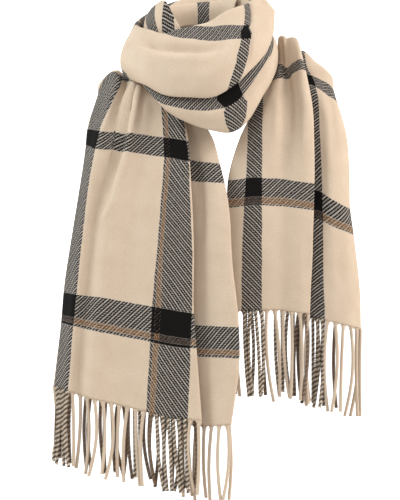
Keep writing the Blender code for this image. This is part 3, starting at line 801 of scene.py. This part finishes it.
# %% A wrapped socket
class Term:
    """One output in a node tree, on which sums can be written."""

    def __init__(self, socket):
        self.socket, self.tree = socket, socket.id_data

    def node(self, kind, settings=None, sockets=None, output=0):
        """Adds a node: its settings first, then the values or links of its sockets."""
        return add_node(self.tree, kind, settings, sockets, output)

    def math(self, operation, *others, swap=False):
        parts = (*others, self) if swap else (self, *others)
        return self.node("ShaderNodeMath", {"operation": operation}, dict(enumerate(parts)))

    def __add__(self, other):
        return self.math("ADD", other)

    def __sub__(self, other):
        return self.math("SUBTRACT", other)

    def __mul__(self, other):
        return self.math("MULTIPLY", other)

    def __truediv__(self, other):
        return self.math("DIVIDE", other)

    def __rsub__(self, other):
        return self.math("SUBTRACT", other, swap=True)

    __radd__, __rmul__ = __add__, __mul__

    def held(self):
        """Held between 0 and 1."""
        return self.math("MINIMUM", 1.0).math("MAXIMUM", 0.0)

    def mix(self, first, second):
        """The first colour where this is 0 and the second where it is 1."""
        return self.node("ShaderNodeMix", {"data_type": "RGBA"}, {0: self, 6: first, 7: second}, 2)


def add_node(tree, kind, settings=None, sockets=None, output=0):
    node = tree.nodes.new(kind)
    for name, value in (settings or {}).items():
        setattr(node, name, value)
    for key, value in (sockets or {}).items():
        if isinstance(value, Term):
            tree.links.new(value.socket, node.inputs[key])
        else:
            node.inputs[key].default_value = value
    return Term(node.outputs[output])


def new_material(name, **constants):
    """A material and its shader, with what is the same all over it set on the shader itself."""
    material = bpy.data.materials.new(name)
    material.use_nodes = True
    shader = material.node_tree.nodes["Principled BSDF"]
    for words, value in constants.items():
        shader.inputs[words.replace("_", " ")].default_value = value
    return material, shader


# %% [markdown]
# ## Woven wool
# A check is woven, not printed: dark and brown threads run both ways through cream ones, and the
# twill decides at each place whether the lengthwise thread or the crosswise one lies on top. The
# material works the same way. It finds the colour of each of the two threads from u and v, then
# lets the twill choose. Where dark crosses cream the diagonal shows, and where dark crosses dark
# the square is solid, with no rule of its own.

# %% Yarns
YARN = 1.4                  # breadth of one yarn in mm
TWILL = 10.6                # how far along a yarn the twill repeats, in mm
# Its two pale lines, each as a middle and half a breadth, in shares of that repeat.
FULL_LINE, SPECKED_LINE = (0.22, 0.10), (0.72, 0.11)
LINE_SOFT = 0.10            # and how soft their edges are
CREAM_WOOL = (0.47, 0.357, 0.257, 1.0)
PALE_WOOL = (0.58, 0.465, 0.355, 1.0)
DARK_WOOL = (0.006, 0.0048, 0.0042, 1.0)
CAMEL_WOOL = (0.23, 0.128, 0.07, 1.0)
# The next two colours are painted shade: they colour cream strands hanging in shadow behind the front
# row.
PAINTED_SHADE_FAWN = (0.32, 0.225, 0.155, 1.0)
PAINTED_SHADE_BROWN = (0.10, 0.068, 0.048, 1.0)


# %% Stripes
def within(value, low, high, soft=0.9):
    """1 between two edges and 0 outside them, with soft edges."""
    return ((value - low) / soft + 0.5).held() * ((high - value) / soft + 0.5).held()


def any_of(parts):
    """The strongest of several masks."""
    total = parts[0]
    for part in parts[1:]:
        total = total.math("MAXIMUM", part)
    return total


def stripes_of(value, bands, colour):
    """Where the bands of one colour lie."""
    return [within(value, low, high) for low, high, kind, _ in bands if kind == colour]


def bar(at, middle, half, soft=0.05):
    """1 where a share of the repeat is near a middle."""
    return (half + soft / 2 - (at - middle).math("ABSOLUTE")).math("DIVIDE", soft).held()


# %% [markdown]
# Real stripes have frayed edges and the colour of brushed wool drifts, so every piece of cloth
# starts from the same few kinds of noise. They are read on the map that is true to size, so that
# the wool is as fine on a fold as beside it.

# %% The cloth as a material sees it
class Cloth:
    """The cloth's maps in mm, in one material's tree, and the noise that makes wool of it."""

    def __init__(self, tree):
        maps = [add_node(tree, "ShaderNodeUVMap", {"uv_map": kind}) for kind in ("check", "weave")]
        check, self.place = (at.node("ShaderNodeVectorMath", {"operation": "SCALE"},
                                     {0: at, "Scale": 1.0 / MM}) for at in maps)
        (u, v), (self.across, self.along) = (
            [at.node("ShaderNodeSeparateXYZ", None, {0: at}, axis) for axis in (0, 1)]
            for at in (check, self.place))
        self.drift, self.nap = self.noise(0.035), self.noise(0.55, 4.0, 0.65)
        self.fray, self.dash = self.noise(0.8, 1.0) - 0.5, self.noise(0.62, 2.0, 0.6)
        self.u = u + (self.drift - 0.5) * 2.0 + self.fray * 1.6
        self.v = v + (self.noise(0.03) - 0.5) * 2.0 + self.fray * 1.6

    def noise(self, scale, detail=2.0, rough=0.5):
        """Noise on the cloth. Its scale is in waves to the mm."""
        return self.place.node(
            "ShaderNodeTexNoise", {"noise_dimensions": "2D"},
            {"Vector": self.place, "Scale": scale, "Detail": detail, "Roughness": rough})

    def pale_floats(self, lean):
        """Where the pale thread floats over the dark: a line nearly full, then one of specks."""
        # It steps aside by one yarn for each yarn along, so the lines lie at 45 degrees.
        steps = (self.along / YARN).math("FLOOR") * YARN * lean
        step = ((steps + self.across + self.fray * 0.9) / TWILL).math("FRACT")
        loose = ((self.fray + 0.02) * 5.0).held()
        speck = loose * 0.5 + bar((self.along / (2.0 * YARN)).math("FRACT"), 0.5, 0.28) * 0.5
        full = bar(step, *FULL_LINE, LINE_SOFT) * (0.55 + 0.45 * speck)
        specks = bar(step, *SPECKED_LINE, LINE_SOFT) * speck
        return full.math("MAXIMUM", specks) * (0.36 + 0.85 * self.dash).held()

    def twill(self, value, bands):
        """The pale floats, leaning as each stripe has it."""
        falling = [within(value, low, high) for low, high, _, lean in bands if lean < 0]
        rising = self.pale_floats(1.0)
        return rising + (self.pale_floats(-1.0) - rising) * any_of(falling) if falling else rising

    def dyed(self, colour):
        """The dark yarn's colour, or the camel one's with dark showing through in places."""
        if colour == "dark":
            return DARK_WOOL
        return ((self.dash - 0.38) * 5.0).held().mix(DARK_WOOL, CAMEL_WOOL)

    def thread(self, value, bands):
        """The colour of one of the two threads: cream, or what its stripes make it."""
        wool = (self.nap * 0.5 + self.drift * 0.6).held().mix(CREAM_WOOL, PALE_WOOL)
        for colour in ("dark", "camel"):
            chosen = stripes_of(value, bands, colour)
            if chosen:
                wool = any_of(chosen).mix(wool, self.dyed(colour))
        return wool


# %% The wool material
def wool_material(name, lengthwise, crosswise):
    """Woven wool with stripes of (low, high, colour, lean) in mm across u and across v."""
    material, shader = new_material(name, Roughness=0.95, Specular_IOR_Level=0.03,
                                    Sheen_Weight=0.03, Sheen_Roughness=0.4)
    tree = material.node_tree
    cloth = Cloth(tree)
    # Outside the crosswise stripes the crosswise thread is cream, so only the lengthwise one counts.
    inside = any_of([within(cloth.v, low, high) for low, high, _, _ in crosswise])
    floats = cloth.twill(cloth.u, lengthwise)
    on_top = floats + (1.0 - cloth.twill(cloth.v, crosswise) - floats) * inside
    woven = on_top.mix(cloth.thread(cloth.u, lengthwise), cloth.thread(cloth.v, crosswise))
    dark, camel = (any_of(stripes_of(cloth.u, lengthwise, colour)
                          + stripes_of(cloth.v, crosswise, colour) or [cloth.drift * 0.0])
                   for colour in ("dark", "camel"))
    # Brushed wool is lighter where its nap stands up, and a camel line dims where dark crosses it.
    value = (0.86 + 0.28 * cloth.nap + 0.25 * dark) * (1.0 - 0.65 * dark * camel)
    soft = woven.node("ShaderNodeHueSaturation", None,
                      {"Saturation": 1.0 - 0.45 * dark, "Value": value, "Color": woven})
    tree.links.new(soft.socket, shader.inputs["Base Color"])
    # The relief is the nap's, with the yarns and the floats of the twill under it.
    turns = 2.0 * math.pi / YARN
    slant = ((cloth.across + cloth.along * 0.5) * turns).math("SINE")
    yarns = slant * 0.5 + (cloth.along * turns).math("SINE") * 0.5
    height = cloth.nap * 1.1 + yarns * 0.22 + on_top * 0.25 + cloth.noise(2.2, 2.0, 0.7) * 0.5
    bump = height.node("ShaderNodeBump", None,
                       {"Strength": 0.55, "Distance": 0.0009, "Height": height})
    tree.links.new(bump.socket, shader.inputs["Normal"])
    return material


turn_wool = wool_material(
    "turn_wool",
    [(0, A_WIDE, "dark", 1), (A_WIDE + AB_GAP, A_WIDE + AB_GAP + B_WIDE, "dark", 1)],
    [(-270, -246, "dark", 1), (0, C_WIDE, "dark", -1), (262, 286, "dark", 1)])
inner_wool = wool_material(
    "inner_wool", [(60, 90, "dark", 1)],
    [(-190, -166, "dark", 1), (-42, -18, "dark", 1), (0, 24, "dark", 1)])
left_wool = wool_material(
    "left_wool",
    [(-42, 0, "dark", -1), (104, 108.5, "dark", 1), (108.5, 116, "camel", 1),
     (116, 164, "dark", 1)],
    [(92, 96, "dark", -1), (96, 103.5, "camel", -1), (103.5, 136, "dark", -1),
     (365, 392, "dark", -1)])
right_wool = wool_material(
    "right_wool",
    [(0, 26, "dark", 1), (150, 176, "dark", -1)],
    [(155, 157.5, "dark", -1), (157.5, 168, "camel", -1), (168, 198, "dark", -1),
     (362, 388, "dark", -1)])
for piece, wool in ((outer_turn, turn_wool), (inner_piece, inner_wool),
                    (left_piece, left_wool), (right_piece, right_wool)):
    piece.data.materials.append(wool)
print("a wool of", len(left_wool.node_tree.nodes), "nodes")

# %% [markdown]
# ## The fringe
# At each cut edge the lengthwise yarns are gathered in twos, twisted, and left to hang. One strand
# is a rule repeated along a line, which is work for Geometry Nodes: each point of a small mesh on
# the hem carries its strand's length and lean, and the tree draws a line down from it, twists it
# and gives it two plies. A folded hem has a second layer of cloth close behind the first, so an
# under row of strands shows in the gaps, in marled yarns as chance has them, and in fawn and brown
# that paint the shade on cream strands hanging in shadow.

# %% Points on a hem, one for each strand
FIRST_STRAND = 3.0          # how far in from the selvedge a hem's first strand hangs, in mm
LAST_STRAND = 2.5           # and the least that is left after the last one
DARK_PITCH = 0.66           # strands of dark yarn hang closer, by this share
YARN_KINDS = {"cream": 0.0, "dark": 1.0, "camel": 2.0, "painted_shade": 3.0}
# Behind a cream place the under row takes one of these by chance; the last kind, twice over, is painted
# shade, cream strands in shadow coloured fawn and brown.
UNDER_YARNS = tuple(YARN_KINDS[kind] for kind in ("dark", "camel", "painted_shade", "painted_shade"))
UNDER_RISE = 2.0            # how far above the hem the under row starts, in mm
UNEVEN = (-0.05, 0.03)      # how much shorter or longer a strand may be, as a share
SWAY, BOW, NOD = 6.0, 5.0, 3.0   # the most that one leans aside, bends and tips forward, in mm
WAVE, WAVE_LONG = 5.0, 37.0      # and all of them lean in slow waves along the hem


def read_line(at, along, line):
    """The point at a distance along a line of points."""
    return np.array([np.interp(at, along, column) for column in line.T])


def yarn_at(u_at, bands):
    """The kind of yarn that a strand has, from the stripe that it hangs under."""
    kinds = [YARN_KINDS[kind] for low, high, kind in bands if low <= u_at < high]
    return max(kinds, default=YARN_KINDS["cream"])


def hem_points(name, row, u_row, length, bands, seed, behind=0.0, until=1e9):
    """A mesh with a point for each strand under a hem, and what the strand is like. A row behind
    has its strands between those of the row in front, and takes its yarns as they come."""
    line = row[~np.isnan(row[:, 0])]
    along = distances(line)
    chance = random.Random(seed)
    roots, facts, places = [], [], []
    run = np.gradient(line, axis=0)
    inward = np.stack([-run[:, 1], run[:, 0]], axis=1)
    inward /= np.linalg.norm(run[:, :2], axis=1)[:, None]
    at = FIRST_STRAND + (STRAND_PITCH / 2 if behind else 0.0)
    while at < along[-1] - LAST_STRAND:
        root = read_line(at, along, line)
        root[:2] += behind * read_line(at, along, inward)
        root[2] += UNDER_RISE if behind else 0.0
        u_at = np.interp(at, along, u_row[:len(line)])
        yarn = yarn_at(u_at, bands)
        if u_at < until and all(np.linalg.norm(root - other) > STRAND_CLEAR for other in roots):
            sway = WAVE * math.sin(root[0] / WAVE_LONG + seed) + chance.uniform(-SWAY, SWAY)
            # A cream place in the row behind takes a yarn by chance, most often the painted shade of a
            # cream strand in shadow.
            if behind and not yarn:
                yarn = chance.choice(UNDER_YARNS)
            facts.append((length * (1.0 + chance.uniform(*UNEVEN)), sway, chance.uniform(-BOW, BOW),
                          chance.uniform(-NOD, NOD), chance.uniform(0, 2 * math.pi), yarn))
            roots.append(root)
            places.append(at)
        at += STRAND_PITCH * (DARK_PITCH if yarn else 1.0)
    mesh = bpy.data.meshes.new(name)
    mesh.from_pydata([Vector(root) * MM for root in roots], [], [])
    for fact, column in zip(("long", "sway", "bow", "nod", "phase", "yarn"), zip(*facts)):
        scale = 1.0 if fact in ("phase", "yarn") else MM
        mesh.attributes.new(fact, "FLOAT", "POINT").data.foreach_set(
            "value", [value * scale for value in column])
    print(name, len(roots), "strands")
    return new_object(name, mesh), places


# %% [markdown]
# ## The arches along the hem
# Where the yarns are gathered into strands they draw together, so a row of small arches is left
# along the hem. Yarn by yarn that would be thousands of threads. From where a scarf is seen it is
# a thin web under the cloth, deep at each strand and cut away in a half ellipse between two.

# %% The arches between strands
WEB = 0.75                  # half the web's thickness at the cloth, in mm
WEB_STEP = 0.8              # spacing of its points along the hem
# Its rows, as shares of its depth, where less than 0 is up inside the cloth in mm, and how thick
# it is at each, as a share of WEB.
WEB_DOWN = np.array([-0.8, 0.0, 0.5, 0.85, 1.0])
WEB_THICK = np.array([1, 1, 0.9, 0.6, 0.1])


def arch_depths(at, places, end, strand, deep):
    """How far the web hangs down at each place along a hem."""
    centres = np.concatenate(([-places[0]], places, [2 * end - places[-1]]))
    gap = np.clip(np.searchsorted(centres, at), 1, len(centres) - 1)
    middle = (centres[gap] + centres[gap - 1]) / 2
    half = np.maximum((centres[gap] - centres[gap - 1]) / 2 - strand / 2, 0.5)
    return 0.5 + deep * (1.0 - np.sqrt(np.clip(1.0 - ((at - middle) / half) ** 2, 0.0, 1.0)))


arch = arch_depths(np.array([5.0, 10.0]), [5.0, 15.0], 20.0, 4.0, 6.5)
print("the web under the hem is", arch[0], "mm deep at a strand and", arch[1], "mm between two")


# %% The web that they are cut from
def web_sides(line, along, at, depth):
    """The points of the web's front and back, with a row along the hem for each of WEB_DOWN. Also
    how far below the hem they lie."""
    top = np.stack([np.interp(at, along, column) for column in line.T], axis=1)
    run = np.gradient(top, axis=0)
    out = np.stack([run[:, 1], -run[:, 0], np.zeros(len(at))], axis=1)
    out /= np.linalg.norm(out, axis=1)[:, None]
    drop = np.where(WEB_DOWN[:, None] < 0, WEB_DOWN[:, None], WEB_DOWN[:, None] * depth)
    return [top[None] + out[None] * side * WEB_THICK[:, None, None]
            - np.array([0, 0, 1.0]) * drop[..., None] for side in (WEB, -WEB)], drop


def web_faces(front, back):
    """The corners of the faces: front and back, the upper and lower edge, and both ends."""
    last_row, last = len(front) - 1, len(front[0]) - 1
    faces = []
    for i in range(last):
        for j in range(last_row):
            for rows, way in ((front, 1), (back, -1)):
                faces.append((rows[j][i], rows[j + 1][i], rows[j + 1][i + 1], rows[j][i + 1])[::way])
        for j, way in ((0, -1), (last_row, 1)):
            faces.append((front[j][i], back[j][i], back[j][i + 1], front[j][i + 1])[::way])
    for i, way in ((0, 1), (last, -1)):
        for j in range(last_row):
            faces.append((front[j][i], back[j][i], back[j + 1][i], front[j + 1][i])[::way])
    return faces


def gathers(name, row, u_row, places, strand, deep, material):
    """The web under a hem, as a closed thin form with both of the cloth's maps."""
    line = row[~np.isnan(row[:, 0])]
    along = distances(line)
    at = np.arange(0.0, along[-1], WEB_STEP)
    sides, drop = web_sides(line, along, at, arch_depths(at, places, along[-1], strand, deep))
    u, v = np.interp(at, along, u_row[:len(line)]), -np.maximum(drop, 0.0)
    form = bmesh.new()
    maps = [form.loops.layers.uv.new(kind) for kind in ("check", "weave")]
    verts = [[[form.verts.new(Vector(point) * MM) for point in points] for points in side]
             for side in sides]
    spots = {vert: (u_at * MM, v_at * MM) for side in verts for row_verts, row_v in zip(side, v)
             for vert, u_at, v_at in zip(row_verts, u, row_v)}
    for corners in web_faces(*verts):
        for loop in form.faces.new(corners).loops:
            for layer in maps:
                loop[layer].uv = spots[loop.vert]
    bmesh.ops.recalc_face_normals(form, faces=form.faces)
    mesh = bpy.data.meshes.new(name)
    form.to_mesh(mesh)
    form.free()
    mesh.shade_smooth()
    mesh.materials.append(material)
    print(name, len(mesh.polygons), "faces")
    return new_object(name, mesh)


# %% [markdown]
# ## The strand
# A twisted strand is two plies wound round each other. They could be swept along a helix, but a
# tilt does it more simply: the profile is two small rings side by side, and the tilt of the line
# turns them once in each turn length. The sway and the bow bend the line, and a strand's own phase
# keeps it from looking like its neighbour.

# %% The strand's tree: its line
STRAND_SIZES = (("Steps", "NodeSocketInt", 76), ("Ply radius", "NodeSocketFloat", 0.0021),
                ("Ply apart", "NodeSocketFloat", 0.0012), ("Turn length", "NodeSocketFloat", 0.0072))
RING_SIDES = 6
TAPER = 0.22                # how much thinner a strand is at its foot, as a share


def hanging_lines(tree, roots, steps, turn_length):
    """A line down from each root, bent, tilted and tapered as its point says."""
    def read(name):
        return add_node(tree, "GeometryNodeInputNamedAttribute", {"data_type": "FLOAT"}, {"Name": name})

    line = add_node(tree, "GeometryNodeCurvePrimitiveLine", None,
                    {"Start": (0, 0, 0), "End": (0, 0, -1)})
    line = line.node("GeometryNodeResampleCurve", None, {"Curve": line, "Count": steps})
    set_out = roots.node("GeometryNodeInstanceOnPoints", None, {"Points": roots, "Instance": line})
    lines = set_out.node("GeometryNodeRealizeInstances", None, {0: set_out})
    share = add_node(tree, "GeometryNodeSplineParameter")
    aside = read("sway") * share * share + read("bow") * (share * math.pi).math("SINE")
    ahead = read("nod") * share * share
    fall = share * (1.0 - read("long"))
    moved = aside.node("ShaderNodeCombineXYZ", None, {0: aside, 1: ahead, 2: fall})
    hung = lines.node("GeometryNodeSetPosition", None, {"Geometry": lines, "Offset": moved})
    angle = read("phase") + share * read("long") / turn_length * (2.0 * math.pi)
    tilted = hung.node("GeometryNodeSetCurveTilt", None, {0: hung, "Tilt": angle})
    return tilted.node("GeometryNodeSetCurveRadius", None, {0: tilted, "Radius": 1.0 - share * TAPER})


# %% The strand's tree: its two plies
def two_rings(ply, apart):
    """The profile: a ring for each ply, with the ply's number kept on it."""
    plies = []
    for number, side in ((0.0, 1.0), (1.0, -1.0)):
        ring = ply.node("GeometryNodeCurvePrimitiveCircle", {"mode": "RADIUS"},
                        {"Resolution": RING_SIDES, "Radius": ply})
        offset = (apart * side).node("ShaderNodeCombineXYZ", None, {0: apart * side})
        placed = ring.node("GeometryNodeTransform", None, {"Geometry": ring, "Translation": offset})
        plies.append(placed.node("GeometryNodeStoreNamedAttribute",
                                 {"data_type": "FLOAT", "domain": "POINT"},
                                 {"Geometry": placed, "Name": "ply", "Value": number}))
    profile = ply.node("GeometryNodeJoinGeometry")
    for part in plies:
        ply.tree.links.new(part.socket, profile.socket.node.inputs[0])
    return profile


def strand_tree(material):
    """The whole tree: hanging lines swept with two rings, made real and given their wool."""
    tree = bpy.data.node_groups.new("twisted_strands", "GeometryNodeTree")
    tree.interface.new_socket("Geometry", in_out="INPUT", socket_type="NodeSocketGeometry")
    for name, kind, value in STRAND_SIZES:
        tree.interface.new_socket(name, in_out="INPUT", socket_type=kind).default_value = value
    tree.interface.new_socket("Geometry", in_out="OUTPUT", socket_type="NodeSocketGeometry")
    entry = tree.nodes.new("NodeGroupInput")
    roots, steps, ply, apart, turn_length = (Term(entry.outputs[i]) for i in range(5))
    lines = hanging_lines(tree, roots, steps, turn_length)
    strands = lines.node("GeometryNodeCurveToMesh", None,
                         {"Curve": lines, "Profile Curve": two_rings(ply, apart), "Fill Caps": True})
    whole = strands.node("GeometryNodeRealizeInstances", None, {0: strands})
    dressed = whole.node("GeometryNodeSetMaterial", None, {"Geometry": whole, "Material": material})
    leave = tree.nodes.new("NodeGroupOutput")
    tree.links.new(dressed.socket, leave.inputs[0])
    print("the strand's tree:", len(tree.nodes), "nodes")
    return tree


def grow(piece, tree):
    """Runs the tree on a piece and leaves a plain mesh."""
    modifier = piece.modifiers.new("strands", "NODES")
    modifier.node_group = tree
    ready = piece.evaluated_get(bpy.context.evaluated_depsgraph_get())
    mesh = bpy.data.meshes.new_from_object(ready)
    piece.modifiers.remove(modifier)
    piece.data = mesh
    mesh.shade_smooth()
    print(piece.name, sum(len(face.vertices) - 2 for face in mesh.polygons), "triangles")
    return piece


# %% [markdown]
# The strands need a wool of their own. A strand of a dark stripe is marl, one dark ply with a
# paler one, so the plies carry numbers and the roots carry the kind of yarn. The colour is worked
# out from those two and broken up by a fine noise, so the twist shows as it does in real yarn.

# %% The strands' wool
def strand_material(name):
    """Twisted wool: cream plies, a dark ply with a pale one, a camel ply with a dark one, or a fawn
    ply and a brown one that paint the shade on cream strands hanging in shadow behind the front
    row. Which it is comes from the yarn's number, as YARN_KINDS has it."""
    material, shader = new_material(name, Roughness=0.93, Specular_IOR_Level=0.2, Sheen_Weight=0.08)
    tree = material.node_tree
    yarn = add_node(tree, "ShaderNodeAttribute", {"attribute_name": "yarn"}, None, 2)
    ply = yarn.node("ShaderNodeAttribute", {"attribute_name": "ply"}, None, 2)
    where = yarn.node("ShaderNodeTexCoord", None, None, 3)
    fibre = yarn.node("ShaderNodeTexNoise", None,
                      {"Vector": where, "Scale": 900.0, "Detail": 3.0, "Roughness": 0.7})
    patch = yarn.node("ShaderNodeTexNoise", None, {"Vector": where, "Scale": 120.0, "Detail": 1.0})
    cream = (fibre + 0.3).held().mix(CREAM_WOOL, PALE_WOOL)
    dark_ply = (ply + (patch - 0.5) * 0.7).held() * (0.55 + 0.6 * fibre).held()
    wool = ((yarn * 4.0).held() * dark_ply).mix(cream, DARK_WOOL)
    wool = ((yarn - 1.0).held() * (1.0 - ply).held()).mix(wool, CAMEL_WOOL)
    # Yarn 3 is painted shade: fawn and brown plies in place of cream strands in shadow.
    painted_shade_plies = (ply * 0.8 + patch * 0.4).held().mix(PAINTED_SHADE_FAWN, PAINTED_SHADE_BROWN)
    wool = (yarn - 2.0).held().mix(wool, painted_shade_plies)
    soft = wool.node("ShaderNodeHueSaturation", None, {"Value": 0.82 + 0.36 * fibre, "Color": wool})
    tree.links.new(soft.socket, shader.inputs["Base Color"])
    bump = fibre.node("ShaderNodeBump", None, {"Strength": 0.6, "Distance": 0.0006, "Height": fibre})
    tree.links.new(bump.socket, shader.inputs["Normal"])
    return material


# %% Both fringes: a front row, an under row and the arches
STRAND_WIDE = 5.6           # breadth of a strand where it leaves the hem, in mm
ARCH_DEEP = 6.5             # height of the arches between strands
UNDER_GAP = 6.5             # how far the under row hangs behind the front one
UNDER_SHARE = 0.97          # length of its strands, as a share of the front ones
UNDER_UNTIL = 200.0         # past this u the hem turns back, and no under row shows
LEFT_BANDS = ((-42, 0, "dark"), (104, 119, "camel"), (119, 164, "dark"))
RIGHT_BANDS = ((0, 26, "dark"), (150, 176, "dark"))
strands = strand_tree(strand_material("strand_wool"))
fringes = []
for side, rows, maps, length, bands, seed, wool in (
        ("left", left, left_maps, FRINGE_LEFT, LEFT_BANDS, 3, left_wool),
        ("right", right, right_maps, FRINGE_RIGHT, RIGHT_BANDS, 5, right_wool)):
    hem, u_row = rows[0], maps["check"][0][0]
    front, places = hem_points("fringe_" + side, hem, u_row, length, bands, seed)
    under, _ = hem_points("under_fringe_" + side, hem, u_row, length * UNDER_SHARE, bands,
                          seed + 20, UNDER_GAP, UNDER_UNTIL)
    arches = gathers("gathers_" + side, hem, u_row, places, STRAND_WIDE, ARCH_DEEP, wool)
    fringes.append((grow(front, strands), grow(under, strands), arches))
(left_fringe, left_under, left_gathers), (right_fringe, right_under, right_gathers) = fringes

# %% [markdown]
# ## The studio
# Wool wants large soft lights: small ones would draw hard edges on every fold. A cool light from
# one side and a warmer one from the other keep the cream from looking flat, and a pale dome gives
# the plain background.

# %% The camera
VIEW = Vector((-0.003, -0.13, -0.315))
camera = new_object("camera", bpy.data.cameras.new("camera"))
camera.location = VIEW + Vector((0.0, -5.0, 0.0))
camera.rotation_euler = (math.radians(90.0), 0.0, 0.0)
camera.data.lens = 240.0
camera.data.sensor_width = 36.0
camera.data.clip_end = 50.0
bpy.context.scene.camera = camera
print("the camera stands", round(-camera.location.y, 2), "m in front")

# %% The floor and the dome
FLOOR_HALF, FLOOR_Z = 8.0, -1.43
floor_mesh = bpy.data.meshes.new("floor")
floor_mesh.from_pydata([(x * FLOOR_HALF, y * FLOOR_HALF, FLOOR_Z)
                        for x, y in ((-1, -1), (1, -1), (1, 1), (-1, 1))], [], [(0, 1, 2, 3)])
floor_mesh.materials.append(
    new_material("floor_plain", Base_Color=(0.82, 0.81, 0.79, 1.0), Roughness=0.9)[0])
floor = new_object("floor", floor_mesh)

# The dome is what the camera sees behind the scarf. It neither lights nor shades anything.
form = bmesh.new()
bmesh.ops.create_icosphere(form, subdivisions=3, radius=11.0)
bmesh.ops.reverse_faces(form, faces=form.faces)
dome_mesh = bpy.data.meshes.new("dome")
form.to_mesh(dome_mesh)
form.free()
dome_mesh.materials.append(
    new_material("dome_white", Emission_Color=(1.0, 1.0, 1.0, 1.0), Emission_Strength=1.0)[0])
dome = new_object("dome", dome_mesh)
dome.visible_diffuse = dome.visible_glossy = False
dome.visible_shadow = dome.visible_transmission = False

# %% The lights
world = bpy.data.worlds.new("studio")
bpy.context.scene.world = world
world.use_nodes = True
world.node_tree.nodes["Background"].inputs["Color"].default_value = (1.0, 1.0, 1.0, 1.0)
world.node_tree.nodes["Background"].inputs["Strength"].default_value = 0.91
bpy.context.scene.view_settings.view_transform = "Standard"


def soft_light(name, at, size, power, tint):
    lamp = bpy.data.lights.new(name, "AREA")
    lamp.energy, lamp.size, lamp.color = power, size, tint
    light = new_object(name, lamp)
    light.location = at
    light.rotation_euler = (VIEW - Vector(at)).to_track_quat("-Z", "Y").to_euler()


soft_light("key", (-2.9, -1.1, 1.9), 1.5, 116.0, (0.86, 0.95, 1.0))
soft_light("fill", (2.9, -0.9, 1.4), 1.5, 104.0, (1.0, 0.98, 0.96))
soft_light("back", (0.4, 2.8, 1.9), 2.0, 50.0, (1.0, 1.0, 1.0))

# %% [markdown]
# ## What the pieces stand for
# Every piece rides on the scarf's one body and stands for the solids that it covers, which keep
# their place for touch and weight.

# %% What the pieces stand for
dressed = {
    outer_turn: ("front_loop", "back_turn"),
    inner_piece: ("inner_turn",),
    left_piece: ("left_end",),
    right_piece: ("right_end",),
    left_fringe: ("left_fringe",),
    left_under: ("left_fringe",),
    left_gathers: ("left_fringe",),
    right_fringe: ("right_fringe",),
    right_under: ("right_fringe",),
    right_gathers: ("right_fringe",),
}
print("pieces:", ", ".join(piece.name for piece in dressed))
for piece, nodes in dressed.items():
    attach(piece, "root")
    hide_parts(*nodes)
